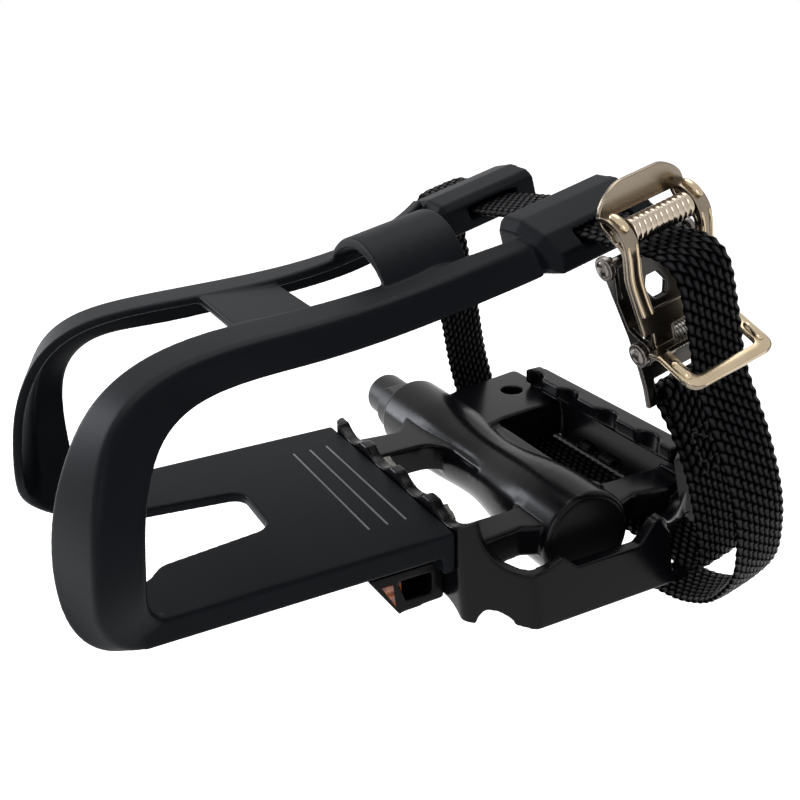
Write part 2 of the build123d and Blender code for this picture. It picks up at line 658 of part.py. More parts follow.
def make_base_plate():
    reach = PLATE_BACK + PLATE_REACH
    side = PLATE_HALF_WIDTH
    plate_bottom = PLATE_TOP - PLATE_THICKNESS
    plate = box((PLATE_BACK, reach), (CLIP_CENTRE - side, CLIP_CENTRE + side), (plate_bottom, PLATE_TOP))
    notch = NOTCH_START + PLATE_BACK
    half = NOTCH_HALF_WIDTH
    spread = half + NOTCH_SPREAD
    throat = reach - NOTCH_THROAT
    outline = FilletPolyline(
        (notch, CLIP_CENTRE - half), (notch, CLIP_CENTRE + half), (throat, CLIP_CENTRE + spread),
        (reach + 1, CLIP_CENTRE + NOTCH_MOUTH), (reach + 1, CLIP_CENTRE - NOTCH_MOUTH),
        (throat, CLIP_CENTRE - spread), radius=NOTCH_ROUND, close=True)
    plate -= extrude(Pos(0, 0, plate_bottom - 1) * make_face(outline), PLATE_THICKNESS + 2)
    skirt = box((PLATE_BACK, reach), (CLIP_CENTRE + side - SKIRT_WALL, CLIP_CENTRE + side),
                (PLATE_TOP - SKIRT_DEPTH, PLATE_TOP))
    plate += both_sides(skirt)
    plate += box((PLATE_BACK, PLATE_BACK + FLANGE_THICKNESS),
                 (CLIP_CENTRE - side, CLIP_CENTRE + side), (PLATE_TOP - FLANGE_DEPTH, PLATE_TOP))
    for index in range(3):
        x = PLATE_BACK + LINE_START + index * LINE_PITCH
        plate -= Pos(x, CLIP_CENTRE, PLATE_TOP) * Box(LINE_WIDTH, LINE_LENGTH, 2 * LINE_DEPTH)
    return plate


def make_toe_clip():
    clip = both_sides(make_rail()) + make_loop() + far_loop()
    clip += make_bridge()
    x = CAGE_FRONT + CROSS_PLATE_START
    z = PLATE_TOP + CROSS_PLATE_LIFT
    half = PLATE_HALF_WIDTH + CORNER_GUIDE[6][1] - RAIL_ROUND - 6
    clip += box((x, x + CROSS_PLATE_WIDTH), (CLIP_CENTRE - half, CLIP_CENTRE + half),
                (z - RAIL_THICKNESS + 0.6, z))
    clip += make_base_plate()
    slot_u = STRAP_THICKNESS / 2 + LOOP_SLOT_CLEARANCE
    slot_w = STRAP_WIDTH / 2 + LOOP_SLOT_CLEARANCE
    slot = (STRAP_TOP - slot_u, STRAP_TOP + slot_u)
    clip -= in_strap_frame(box((CLIP_CENTRE, ROOM), slot, (-slot_w, slot_w)))
    clip -= far_drop() * in_strap_frame(box((0, CLIP_CENTRE), slot, (-slot_w, slot_w)))
    for y in BOLT_PLACES:
        clip -= rod_x(BOLT_RADIUS + BOLT_CLEARANCE, PLATE_BACK - 1, PLATE_BACK + 2 * FLANGE_THICKNESS,
                      y, BOLT_Z)
    return clip


def bolt_places():
    return [Pos(0, y, BOLT_Z) for y in BOLT_PLACES]


def make_bolts():
    face = PLATE_BACK + FLANGE_THICKNESS
    nut_end = CAGE_FRONT - WALL - WASHER_THICKNESS - NUT_THICKNESS
    bolt = rod_x(BOLT_RADIUS, nut_end - BOLT_PROUD, face, 0, 0)
    bolt += rod_x(BOLT_HEAD_RADIUS, face, face + BOLT_HEAD_THICKNESS, 0, 0)
    return Compound(children=[place * bolt for place in bolt_places()])


def make_washers():
    end = CAGE_FRONT - WALL
    washer = rod_x(WASHER_RADIUS, end - WASHER_THICKNESS, end, 0, 0)
    washer -= rod_x(BOLT_RADIUS, end - WALL, end + WALL, 0, 0)
    return Compound(children=[place * washer for place in bolt_places()])


def make_nuts():
    end = CAGE_FRONT - WALL - WASHER_THICKNESS
    hexagon = Plane((end, 0, 0), z_dir=(-1, 0, 0)) * RegularPolygon(NUT_FLATS / 2, 6, major_radius=False)
    nut = extrude(hexagon, NUT_THICKNESS) - rod_x(BOLT_RADIUS, end - 2 * NUT_THICKNESS, end + 1, 0, 0)
    return Compound(children=[place * nut for place in bolt_places()])


def reflector_profile(inset):
    """Side outline of a reflector housing, as (distance from the wall, z) points."""
    top = REFLECTOR_TOP - inset
    bottom = REFLECTOR_BOTTOM + inset
    return [(SEAT + inset, bottom + 1), (REFLECTOR_FOOT - inset / 2, bottom),
            (REFLECTOR_BROW - inset / 2, top), (SEAT + inset, top)]


def lens_slab(depth, thickness, inset):
    """Slab parallel to the sloping face of a reflector, at a depth below it."""
    rise = REFLECTOR_TOP - REFLECTOR_BOTTOM
    run = REFLECTOR_BROW - REFLECTOR_FOOT
    length = math.hypot(rise, run)
    back_x = rise / length
    back_z = run / length
    low = (REFLECTOR_FOOT + inset * run / length, REFLECTOR_BOTTOM + inset * rise / length)
    high = (REFLECTOR_BROW - inset * run / length, REFLECTOR_TOP - inset * rise / length)
    outline = []
    for point, step in ((low, depth), (high, depth), (high, depth + thickness), (low, depth + thickness)):
        outline.append((point[0] - back_x * step, point[1] + back_z * step))
    half = REFLECTOR_HALF_WIDTH - inset
    return prism_y(outline, CLIP_CENTRE - half, CLIP_CENTRE + half)


def make_reflector_housing():
    half = REFLECTOR_HALF_WIDTH
    housing = prism_y(reflector_profile(0), CLIP_CENTRE - half, CLIP_CENTRE + half)
    hollow = half - REFLECTOR_WALL
    housing -= prism_y(reflector_profile(REFLECTOR_WALL), CLIP_CENTRE - hollow, CLIP_CENTRE + hollow)
    housing -= lens_slab(-LENS_RECESS, LENS_RECESS + LENS_THICKNESS, REFLECTOR_WALL)
    window = [(3.5, REFLECTOR_BOTTOM + 3.4), (REFLECTOR_FOOT - 2, REFLECTOR_BOTTOM + 3.4),
              (REFLECTOR_FOOT, REFLECTOR_TOP - 2.4), (3.5, REFLECTOR_TOP - 2.4)]
    housing -= prism_y(window, CLIP_CENTRE - ROOM, CLIP_CENTRE + ROOM)
    for side in (-1, 1):
        y = CLIP_CENTRE + side * TAB_SPACING / 2
        span = (y - TAB_WIDTH / 2, y + TAB_WIDTH / 2)
        top = tab_bottom() + TAB_THICKNESS
        housing += box((-WALL - 2.6, REFLECTOR_WALL), span, (tab_bottom(), top))
        barb = [(-WALL - 0.1, top - 0.5), (-WALL - 0.1, top + TAB_BARB), (-WALL - 2.6, top),
                (-WALL - 2.6, top - 0.5)]
        housing += prism_y(barb, span[0], span[1])
    return housing


def make_lens():
    return lens_slab(0, LENS_THICKNESS, REFLECTOR_WALL)


def front_place(shape):
    return Pos(CAGE_FRONT, 0, 0) * shape


def rear_place(shape):
    return Pos(-CAGE_REAR, 0, 0) * mirror(shape, about=Plane.YZ)


def strap_points():
    """Corners of the strap's centre line from the sewn end to the free end, each with its bend."""
    turn = FRAME_FOOT_U + FRAME_BAR + STRAP_THICKNESS / 2 + 0.5
    gap = STRAP_THICKNESS / 2 + FRAME_THICKNESS / 2 + 0.35
    bar = FRAME_FOOT_Y
    foot = FRAME_FOOT_U
    hump = STRAP_HUMP
    sewn_end = [
        (bar + 8.3, foot - 18, 0), (bar + 4.8, foot - 6, 40), (bar + gap, turn, 1.9),
        (bar - gap, turn, 1.9), (bar - gap + 0.3, foot - 1.5, 12), (bar + 2.4, foot - 9, 40),
        (bar + 5.4, foot - 19, 40), (bar + 6.2, foot - 34, 60)]
    round_the_foot = [
        (bar + 4.8, STRAP_FLOOR, 9), (STRAP_FAR + 1, STRAP_FLOOR, 9), (STRAP_FAR, STRAP_FLOOR + 21.4, 60),
        (STRAP_FAR + 5, STRAP_FLOOR + 48.4, 80), (STRAP_FAR + 8.5, STRAP_TOP - FAR_DROP, 8),
        (2 * CLIP_CENTRE - LOOP_INNER + 1, STRAP_TOP - FAR_DROP, 40), (LOOP_INNER - 1, STRAP_TOP, 40),
        (PIVOT_Y - 15, STRAP_TOP, 40), (ANVIL_Y + 2, STRAP_TOP + 0.5, 40)]
    free_end = [
        (hump, STRAP_TOP + 0.2, 8), (hump + 0.8, PIVOT_U + 5.3, 60), (hump + 0.8, PIVOT_U - 6.7, 30),
        (hump + 6.2, PIVOT_U - 22.7, 60), (hump + 9, PIVOT_U - 40.7, 50), (hump + 5.2, PIVOT_U - 59.7, 30),
        (hump - 6, PIVOT_U - 74.2, 30), (hump - 18, PIVOT_U - 81.2, 40), (hump - 30, PIVOT_U - 83.7, 0)]
    return sewn_end + round_the_foot + free_end


def bend_radii(points):
    """Bend at each corner, no larger than its two runs have room for."""
    radii = []
    for before, corner, after in zip(points, points[1:], points[2:]):
        come = (corner[0] - before[0], corner[1] - before[1])
        leave = (after[0] - corner[0], after[1] - corner[1])
        cross = come[0] * leave[1] - come[1] * leave[0]
        dot = come[0] * leave[0] + come[1] * leave[1]
        half_turn = abs(math.atan2(cross, dot)) / 2
        room = 0.47 * min(math.hypot(*come), math.hypot(*leave))
        radii.append(min(corner[2], room / math.tan(half_turn)))
    return radii


def make_strap():
    points = strap_points()
    path = FilletPolyline(*[(y, u) for y, u, bend in points], radius=bend_radii(points))
    start = Plane(path @ 0, x_dir=(0, 0, 1), z_dir=path % 0)
    webbing = sweep(start * Rectangle(STRAP_WIDTH, STRAP_THICKNESS), path)
    return in_strap_frame(webbing)


def plate_along(points, radius, thickness, width):
    """Bent plate drawn edge-on in the plane of the strap."""
    path = FilletPolyline(*points, radius=radius)
    start = Plane(path @ 0, x_dir=(0, 0, 1), z_dir=path % 0)
    return sweep(start * Rectangle(width, thickness), path)


def round_corners(plate, end, radius):
    """Round the two corners of a bent plate nearest to an end point."""
    short = [edge for edge in plate.edges() if edge.length < 1.5 * LEVER_THICKNESS]
    ends = sorted(short, key=lambda edge: abs(edge.center().X - end[0]) + abs(edge.center().Y - end[1]))
    return fillet(ends[:2], radius)


def frame_points():
    return [(ANVIL_Y - 2.0, ANVIL_U - 1.5), (PIVOT_Y - 3.6, PIVOT_U + 3), (PIVOT_Y - 1.8, PIVOT_U - 6),
            (FRAME_FOOT_Y, FRAME_FOOT_U + 5), (FRAME_FOOT_Y, FRAME_FOOT_U)]


def ear_pair(points, outer):
    """Two flat ears at the edges of the frame."""
    ears = None
    for low in (-outer, outer - EAR_THICKNESS):
        face = make_face(Polyline(*[(y, u, low) for y, u in points], close=True))
        ear = extrude(face, EAR_THICKNESS, dir=(0, 0, 1))
        ears = ear if ears is None else ears + ear
    return ears


def make_frame():
    half = FRAME_WIDTH / 2
    frame = plate_along(frame_points(), FRAME_BEND, FRAME_THICKNESS, FRAME_WIDTH)
    lower = [(PIVOT_Y - 3.6, PIVOT_U + 5), (PIVOT_Y, PIVOT_U + EAR_RADIUS), (PIVOT_Y, PIVOT_U - EAR_RADIUS),
             (PIVOT_Y - 2.4, PIVOT_U - 5)]
    upper = [(ANVIL_Y - 2.7, ANVIL_U - 1.5), (ANVIL_Y - 1.4, ANVIL_U + 1.6), (ANVIL_Y, ANVIL_U + 2.2),
             (ANVIL_Y + 2, ANVIL_U), (ANVIL_Y + 1.4, ANVIL_U - 8), (ANVIL_Y - 0.4, ANVIL_U - 8)]
    frame += ear_pair(lower, half) + ear_pair(upper, half)
    for low in (-half, half - EAR_THICKNESS):
        frame += rod_w(EAR_RADIUS, low, low + EAR_THICKNESS, PIVOT_Y, PIVOT_U)
    slot = STRAP_WIDTH / 2 + 0.7
    bar_top = FRAME_FOOT_U + FRAME_BAR
    frame -= box((FRAME_FOOT_Y - 5, FRAME_FOOT_Y + 5), (bar_top, bar_top + FRAME_SLOT), (-slot, slot))
    opening = KNUCKLE_LENGTH / 2 + 0.4
    frame -= box((ANVIL_Y - 6, PIVOT_Y), (PIVOT_U - 4.4, PIVOT_U + 4.8), (-opening, opening))
    hole = Plane((ANVIL_Y - 10, PIVOT_U + 11, 0), z_dir=(1, 0, 0)) * RegularPolygon(FRAME_HOLE / 2, 6)
    frame -= extrude(hole, 20)
    for y, u in ((PIVOT_Y, PIVOT_U), (ANVIL_Y, ANVIL_U)):
        frame -= rod_w(PIN_RADIUS, -FRAME_WIDTH, FRAME_WIDTH, y, u)
    return in_strap_frame(frame)


def make_rivet(y, u):
    """Pin across the frame with a head at each end."""
    half = FRAME_WIDTH / 2
    pin = rod_w(PIN_RADIUS, -half, half, y, u)
    for low in (-half - RIVET_THICKNESS, half):
        pin += rod_w(RIVET_RADIUS, low, low + RIVET_THICKNESS, y, u)
    return in_strap_frame(pin)


def make_bush():
    half = FRAME_WIDTH / 2 - EAR_THICKNESS
    bush = rod_w(BUSH_RADIUS, -half, half, PIVOT_Y, PIVOT_U)
    return in_strap_frame(bush - rod_w(PIN_RADIUS, -half, half, PIVOT_Y, PIVOT_U))


def lever_points():
    knuckle = PIVOT_Y + BUSH_RADIUS + BUSH_CLEARANCE + KNUCKLE_WALL / 2
    tip = PIVOT_Y - LEVER_TIP_INSET
    return [(tip + 0.4, ROLLER_U + LEVER_TIP_RISE), (tip - 0.4, ROLLER_U + 2.0),
            (PIVOT_Y + 0.4, ROLLER_U - 2.8), (PIVOT_Y - 0.4, ROLLER_U - 10), (knuckle - 0.5, PIVOT_U + 6),
            (knuckle - 0.25, PIVOT_U)]


def keeper_points():
    return [(PIVOT_Y + BUSH_RADIUS + 0.6, PIVOT_U + 1.2), (PIVOT_Y + 7, PIVOT_U + 1.4),
            (KEEPER_END, PIVOT_U - 3.4)]


def beside_ears(width, u):
    """Two blocks that clear the frame's ears from a plate as wide as the lever."""
    inner = FRAME_WIDTH / 2 - EAR_THICKNESS - EAR_GAP
    span = (ANVIL_Y, PIVOT_Y + width)
    return box(span, u, (inner, ROOM)) + box(span, u, (-ROOM, -inner))


def make_finger_plate():
    plate = plate_along(lever_points(), LEVER_BEND, LEVER_THICKNESS, LEVER_WIDTH)
    plate = round_corners(plate, lever_points()[0], LEVER_TIP_ROUND)
    window = ROLLER_LENGTH / 2 + ROLLER_END_GAP
    plate -= box((PIVOT_Y - 10, PIVOT_Y + 10), (PIVOT_U + 10, ROLLER_U + 2.9), (-window, window))
    plate -= beside_ears(9, (PIVOT_U - 9, PIVOT_U + 5.4))
    for side in (-1, 1):
        low, high = sorted((side * (window + 0.1), side * (LEVER_WIDTH / 2 - 0.8)))
        plate += rod_w(LUG_RADIUS, low, high, ROLLER_Y, ROLLER_U)
    return plate


def make_keeper():
    keeper = plate_along(keeper_points(), KEEPER_BEND, LEVER_THICKNESS, KEEPER_WIDTH)
    keeper = round_corners(keeper, keeper_points()[-1], KEEPER_ROUND)
    opening = STRAP_WIDTH / 2 + 1.2
    keeper -= box((PIVOT_Y + 6, KEEPER_END - KEEPER_BAR), (PIVOT_U - 9, PIVOT_U + 9), (-opening, opening))
    return keeper - beside_ears(EAR_RADIUS + 0.5, (PIVOT_U - 9, PIVOT_U + 9))


def make_lever():
    bore = BUSH_RADIUS + BUSH_CLEARANCE
    half = KNUCKLE_LENGTH / 2
    lever = make_finger_plate() + rod_w(bore + KNUCKLE_WALL, -half, half, PIVOT_Y, PIVOT_U) + make_keeper()
    lever -= rod_w(bore, -LEVER_WIDTH, LEVER_WIDTH, PIVOT_Y, PIVOT_U)
    lever -= rod_w(ROLLER_PIN_RADIUS, -LEVER_WIDTH, LEVER_WIDTH, ROLLER_Y, ROLLER_U)
    coil = SPRING_LENGTH / 2 + SPRING_SIDE_GAP
    lever -= box((PIVOT_Y - 5, PIVOT_Y + 5.2), (PIVOT_U - 5, PIVOT_U + 5.2), (-coil, coil))
    return in_strap_frame(lever)


def make_spring():
    """Close coil on the bush, with a leg towards the frame and a leg behind the lever."""
    inner = BUSH_RADIUS + BUSH_CLEARANCE
    outer = inner + 2 * SPRING_WIRE
    half = SPRING_LENGTH / 2
    coil = rod_w(outer, -half, half, PIVOT_Y, PIVOT_U)
    for index in range(1, SPRING_TURNS):
        w = -half + index * 2 * SPRING_WIRE
        groove = rod_w(outer + 1, w - SPRING_WIRE / 3, w + SPRING_WIRE / 3, PIVOT_Y, PIVOT_U)
        coil -= groove - rod_w(inner + SPRING_WIRE, w - 1, w + 1, PIVOT_Y, PIVOT_U)
    legs = (((-inner - SPRING_WIRE, 0), (-2.1, -3.4), -1), ((inner, 1.6), (1.2, 6.4), 1))
    for root, tip, side in legs:
        start = Vector(PIVOT_Y + root[0], PIVOT_U + root[1], side * (half - SPRING_WIRE))
        end = Vector(PIVOT_Y + tip[0], PIVOT_U + tip[1], side * (half - SPRING_WIRE))
        leg = Plane(start, z_dir=end - start) * Circle(SPRING_WIRE)
        coil += extrude(leg, (end - start).length)
    return in_strap_frame(coil - rod_w(inner, -half, half, PIVOT_Y, PIVOT_U))


def make_roller_pin():
    half = LEVER_WIDTH / 2 - 0.5
    return in_strap_frame(rod_w(ROLLER_PIN_RADIUS, -half, half, ROLLER_Y, ROLLER_U))


def make_roller():
    roller = rod_w(ROLLER_RADIUS, -ROLLER_LENGTH / 2, ROLLER_LENGTH / 2, ROLLER_Y, ROLLER_U)
    bore = ROLLER_PIN_RADIUS + RUNNING_CLEARANCE
    roller -= rod_w(bore, -ROLLER_LENGTH, ROLLER_LENGTH, ROLLER_Y, ROLLER_U)
    pitch = ROLLER_LENGTH / (ROLLER_GROOVES + 1)
    for index in range(ROLLER_GROOVES):
        w = -ROLLER_LENGTH / 2 + (index + 1) * pitch
        half = ROLLER_GROOVE_WIDTH / 2
        groove = rod_w(ROLLER_RADIUS + 1, w - half, w + half, ROLLER_Y, ROLLER_U)
        groove -= rod_w(ROLLER_RADIUS - ROLLER_GROOVE_DEPTH, w - 1, w + 1, ROLLER_Y, ROLLER_U)
        roller -= groove
    return in_strap_frame(roller)


def main():
    os.makedirs("parts", exist_ok=True)
    save(make_spindle(), "spindle")
    save(ball_row(INBOARD_BALL_CIRCLE, INBOARD_BALL_Y), "inboard_balls")
    save(ball_row(OUTBOARD_BALL_CIRCLE, OUTBOARD_BALL_Y), "outboard_balls")
    save(make_cup(INBOARD_BALL_CIRCLE, INBOARD_CUP_RADIUS, INBOARD_BALL_Y), "inboard_cup")
    save(make_cup(OUTBOARD_BALL_CIRCLE, OUTBOARD_CUP_RADIUS, OUTBOARD_BALL_Y), "outboard_cup")
    adjuster = ring(SHAFT_END_RADIUS, ADJUSTER_RADIUS, OUTBOARD_BALL_Y, ADJUSTER_END)
    save(adjuster - race(OUTBOARD_BALL_CIRCLE, OUTBOARD_BALL_Y), "outboard_cone")
    save(ring(SHAFT_END_RADIUS, LOCK_WASHER_RADIUS, ADJUSTER_END, LOCK_NUT_START), "lock_washer")
    save(make_lock_nut(), "lock_nut")
    seal_start = BARREL_START + 0.3
    save(ring(CONE_RADIUS + SEAL_CLEARANCE, INBOARD_CUP_RADIUS, seal_start, seal_start + SEAL_THICKNESS),
         "inboard_seal")
    save(make_dust_cap(), "dust_cap")
    save(make_pedal_body(), "pedal_body")
    save(make_toe_clip(), "toe_clip")
    save(make_bolts(), "clip_bolts")
    save(make_washers(), "clip_washers")
    save(make_nuts(), "clip_nuts")
    save(front_place(make_reflector_housing()), "front_reflector_housing")
    save(front_place(make_lens()), "front_reflector_lens")
    save(rear_place(make_reflector_housing()), "rear_reflector_housing")
    save(rear_place(make_lens()), "rear_reflector_lens")
    save(make_strap(), "toe_strap")
    save(make_frame(), "buckle_frame")
    save(make_rivet(PIVOT_Y, PIVOT_U), "lever_pin")
    save(make_bush(), "lever_bush")
    save(make_rivet(ANVIL_Y, ANVIL_U), "anvil_pin")
    save(make_lever(), "buckle_lever")
    save(make_spring(), "lever_spring")
    save(make_roller_pin(), "roller_pin")
    save(make_roller(), "strap_roller")


main()
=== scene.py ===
"""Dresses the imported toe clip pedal: cast body, moulded clip, woven strap and plated buckle.

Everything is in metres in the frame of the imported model: X forward to the toe, Y outboard along
the spindle and Z up. Sizes given in millimetres are multiplied by MM where they are used.
"""
import json
import logging
import math
from dataclasses import dataclass, field
from enum import Enum

import bpy
import numpy as np
from mathutils import Matrix, Vector

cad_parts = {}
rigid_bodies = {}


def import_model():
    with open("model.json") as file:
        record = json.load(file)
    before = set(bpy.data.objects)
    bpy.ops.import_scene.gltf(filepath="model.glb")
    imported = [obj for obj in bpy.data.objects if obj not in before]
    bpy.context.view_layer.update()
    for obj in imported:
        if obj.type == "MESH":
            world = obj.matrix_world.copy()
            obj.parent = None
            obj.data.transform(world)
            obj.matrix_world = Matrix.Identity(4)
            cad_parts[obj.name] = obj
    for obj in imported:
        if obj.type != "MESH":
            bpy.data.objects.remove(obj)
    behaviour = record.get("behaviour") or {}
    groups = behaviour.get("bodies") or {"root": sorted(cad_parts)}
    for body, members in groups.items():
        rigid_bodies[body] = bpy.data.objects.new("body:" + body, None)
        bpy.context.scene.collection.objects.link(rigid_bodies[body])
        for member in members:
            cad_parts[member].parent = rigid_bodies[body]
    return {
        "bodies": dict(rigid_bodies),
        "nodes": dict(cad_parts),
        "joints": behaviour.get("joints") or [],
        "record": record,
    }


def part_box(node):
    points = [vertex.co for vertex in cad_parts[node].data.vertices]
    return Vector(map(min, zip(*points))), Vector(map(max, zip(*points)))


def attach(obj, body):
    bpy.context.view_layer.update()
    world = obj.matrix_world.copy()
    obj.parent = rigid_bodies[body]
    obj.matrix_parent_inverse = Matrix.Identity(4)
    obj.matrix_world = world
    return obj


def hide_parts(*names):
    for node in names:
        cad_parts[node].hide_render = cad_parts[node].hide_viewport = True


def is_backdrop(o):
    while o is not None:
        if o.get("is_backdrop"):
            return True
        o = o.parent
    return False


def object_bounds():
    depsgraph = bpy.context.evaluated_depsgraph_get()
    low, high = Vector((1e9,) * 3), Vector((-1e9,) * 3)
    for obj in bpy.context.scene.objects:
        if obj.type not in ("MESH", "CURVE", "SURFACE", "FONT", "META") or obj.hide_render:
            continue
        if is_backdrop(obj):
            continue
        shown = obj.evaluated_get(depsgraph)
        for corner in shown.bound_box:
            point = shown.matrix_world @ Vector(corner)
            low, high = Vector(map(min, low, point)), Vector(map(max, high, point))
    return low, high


LOG = logging.getLogger("toe_clip_pedal")
MM = 0.001
WELD = 0.002 * MM
SEAM = 0.001 * MM
CREASE = math.radians(50)
PRESSED_CREASE = math.radians(60)


class Body(Enum):
    """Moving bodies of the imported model."""

    SPINDLE = "spindle"
    PEDAL = "pedal"
    LEVER = "lever"
    ROLLER = "roller"


class Slot(Enum):
    """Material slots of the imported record."""

    CAST = "cast_black"
    CLIP = "clip_black"
    STRAP = "strap_black"
    NICKEL = "nickel"
    GUNMETAL = "gunmetal"
    STEEL = "steel"
    DARK_STEEL = "dark_steel"
    HOUSING = "housing_black"
    AMBER = "amber"


def linear(colour: str) -> tuple[float, float, float, float]:
    """Turns an sRGB hex colour into linear light.

    Args:
        colour: a hash sign and six hex digits.

    Returns:
        Linear red, green and blue, and a full alpha.
    """
    parts = [int(colour[start:start + 2], 16) / 255 for start in (1, 3, 5)]
    light = [part / 12.92 if part <= 0.04045 else ((part + 0.055) / 1.055) ** 2.4 for part in parts]
    return (light[0], light[1], light[2], 1.0)


def add_node(tree: bpy.types.NodeTree, kind: str, settings: dict | None = None,
             inputs: dict | None = None) -> bpy.types.Node:
    """Adds a shader node, sets it up and links it.

    Args:
        tree: the node tree that gets the node.
        kind: the node's type name.
        settings: the node's own properties.
        inputs: a socket or a value for each input, by the input's name or number.

    Returns:
        The new node.
    """
    node = tree.nodes.new(kind)
    for name, value in (settings or {}).items():
        setattr(node, name, value)
    for name, value in (inputs or {}).items():
        if isinstance(value, bpy.types.NodeSocket):
            tree.links.new(value, node.inputs[name])
        else:
            node.inputs[name].default_value = value
    return node


@dataclass(frozen=True)
class Finish:
    """An even surface with the small unevenness that its making leaves.

    Two close colours lie in patches, and a fine grain gives relief and varies the gloss.
    Lengths are in millimetres.
    """

    name: str
    colour: str
    shade: str
    roughness: float
    metallic: float = 0.0
    specular: float = 0.5
    coat: float = 0.0
    sheen: float = 0.0
    patch: float = 12.0
    grain: float = 0.3
    relief: float = 0.01
    gloss_spread: float = 0.08
    stretch: tuple[float, float, float] = (1.0, 1.0, 1.0)

    def surface(self, tree: bpy.types.NodeTree) -> dict:
        """Draws the patches and the grain.

        Args:
            tree: the material's node tree.

        Returns:
            The shader's colour, roughness and normal sockets.
        """
        place = add_node(tree, "ShaderNodeTexCoord").outputs["Object"]
        drawn = add_node(tree, "ShaderNodeMapping", {}, {"Vector": place, "Scale": self.stretch})
        patches = add_node(tree, "ShaderNodeTexNoise", {}, {
            "Vector": place, "Scale": 1 / (self.patch * MM), "Detail": 3.0})
        grain = add_node(tree, "ShaderNodeTexNoise", {}, {
            "Vector": drawn.outputs[0], "Scale": 1 / (self.grain * MM), "Detail": 2.0})
        colour = add_node(tree, "ShaderNodeMix", {"data_type": "RGBA"}, {
            0: patches.outputs[0], 6: linear(self.colour), 7: linear(self.shade)})
        gloss = add_node(tree, "ShaderNodeMapRange", {}, {
            0: grain.outputs[0], 3: self.roughness - self.gloss_spread,
            4: self.roughness + self.gloss_spread})
        bump = add_node(tree, "ShaderNodeBump", {}, {
            "Height": grain.outputs[0], "Distance": self.relief * MM, "Strength": 1.0})
        return {"Base Color": colour.outputs[2], "Roughness": gloss.outputs[0], "Normal": bump.outputs[0]}

    def material(self) -> bpy.types.Material:
        """Gives the finish as a node material, made on first use.

        Returns:
            The material.
        """
        made = bpy.data.materials.get(self.name)
        if made:
            return made
        made = bpy.data.materials.new(self.name)
        made.use_nodes = True
        tree = made.node_tree
        tree.nodes.clear()
        inputs = {"Metallic": self.metallic, "Specular IOR Level": self.specular, "Coat Weight": self.coat,
                  "Sheen Weight": self.sheen}
        inputs.update(self.surface(tree))
        shader = add_node(tree, "ShaderNodeBsdfPrincipled", {}, inputs)
        add_node(tree, "ShaderNodeOutputMaterial", {}, {"Surface": shader.outputs[0]})
        return made


@dataclass(frozen=True)
class Webbing(Finish):
    """Nylon webbing: plump floats that slant one way in each rib and are staggered from rib to rib.

    The piece's own weave attribute gives millimetres across and along the strap. Plump is the power that
    shapes a float, the crown power shapes the painted highlight on its top, which fades to painted shade
    between the floats, and the plies are the twists of yarn that show on it.
    """

    rib: float = 15.0 / 9
    float_length: float = 2.9
    slant: float = 0.35
    depth: float = 0.9
    plump: float = 0.7
    painted_crown_highlight: float = 2.2
    plies: float = 3.0
    ply_slant: float = 4.0
    ply_relief: float = 0.1

    def surface(self, tree: bpy.types.NodeTree) -> dict:
        """Draws the floats, with a painted highlight on their tops and painted shade between them, and the
        twist of their yarn.

        Args:
            tree: the material's node tree.

        Returns:
            The shader's colour, roughness, normal and specular sockets.
        """
        weave = add_node(tree, "ShaderNodeAttribute", {"attribute_name": "weave"}).outputs["Vector"]
        parts = add_node(tree, "ShaderNodeSeparateXYZ", {}, {0: weave})
        steps = [
            ("across", "DIVIDE", parts.outputs[0], self.rib), ("rib", "FLOOR", "across"),
            ("x", "FRACT", "across"), ("x", "SUBTRACT", "x", 0.5),
            ("hand", "MODULO", "rib", 2.0), ("hand", "ABSOLUTE", "hand"),
            ("along", "DIVIDE", parts.outputs[1], self.float_length),
            ("phase", "MULTIPLY_ADD", "x", self.slant, "along"),
            ("phase", "MULTIPLY_ADD", "hand", 0.5, "phase"),
            ("y", "FRACT", "phase"), ("y", "SUBTRACT", "y", 0.5),
            ("ridge", "MULTIPLY", "x", math.pi), ("ridge", "COSINE", "ridge"),
            ("pillow", "MULTIPLY", "y", math.pi), ("pillow", "COSINE", "pillow"),
            ("pillow", "MULTIPLY", "pillow", "ridge"), ("height", "POWER", "pillow", self.plump),
            ("ply", "MULTIPLY_ADD", "x", self.ply_slant, "y"),
            ("ply", "MULTIPLY", "ply", 2 * self.plies * math.pi), ("ply", "SINE", "ply"),
            ("relief", "MULTIPLY_ADD", "ply", self.ply_relief, "height")]
        made: dict = {}
        for name, operation, *values in steps:
            found = [made.get(value, value) if isinstance(value, str) else value for value in values]
            node = add_node(tree, "ShaderNodeMath", {"operation": operation}, dict(enumerate(found)))
            made[name] = node.outputs[0]
        # Painted highlight and shade: the colour runs from near black between the floats to the pale crown
        # colour on their tops.
        painted_crown_highlight = add_node(tree, "ShaderNodeMath", {"operation": "POWER"}, {0: made["height"], 1: self.painted_crown_highlight})
        colour = add_node(tree, "ShaderNodeMix", {"data_type": "RGBA"}, {
            0: painted_crown_highlight.outputs[0], 6: linear(self.shade), 7: linear(self.colour)})
        shine = add_node(tree, "ShaderNodeMath", {"operation": "MULTIPLY"}, {
            0: painted_crown_highlight.outputs[0], 1: self.specular})
        gloss = add_node(tree, "ShaderNodeMapRange", {}, {
            0: made["relief"], 3: self.roughness + self.gloss_spread,
            4: self.roughness - self.gloss_spread})
        bump = add_node(tree, "ShaderNodeBump", {}, {
            "Height": made["relief"], "Distance": self.depth * MM, "Strength": 1.0})
        return {"Base Color": colour.outputs[2], "Roughness": gloss.outputs[0], "Normal": bump.outputs[0],
                "Specular IOR Level": shine.outputs[0]}


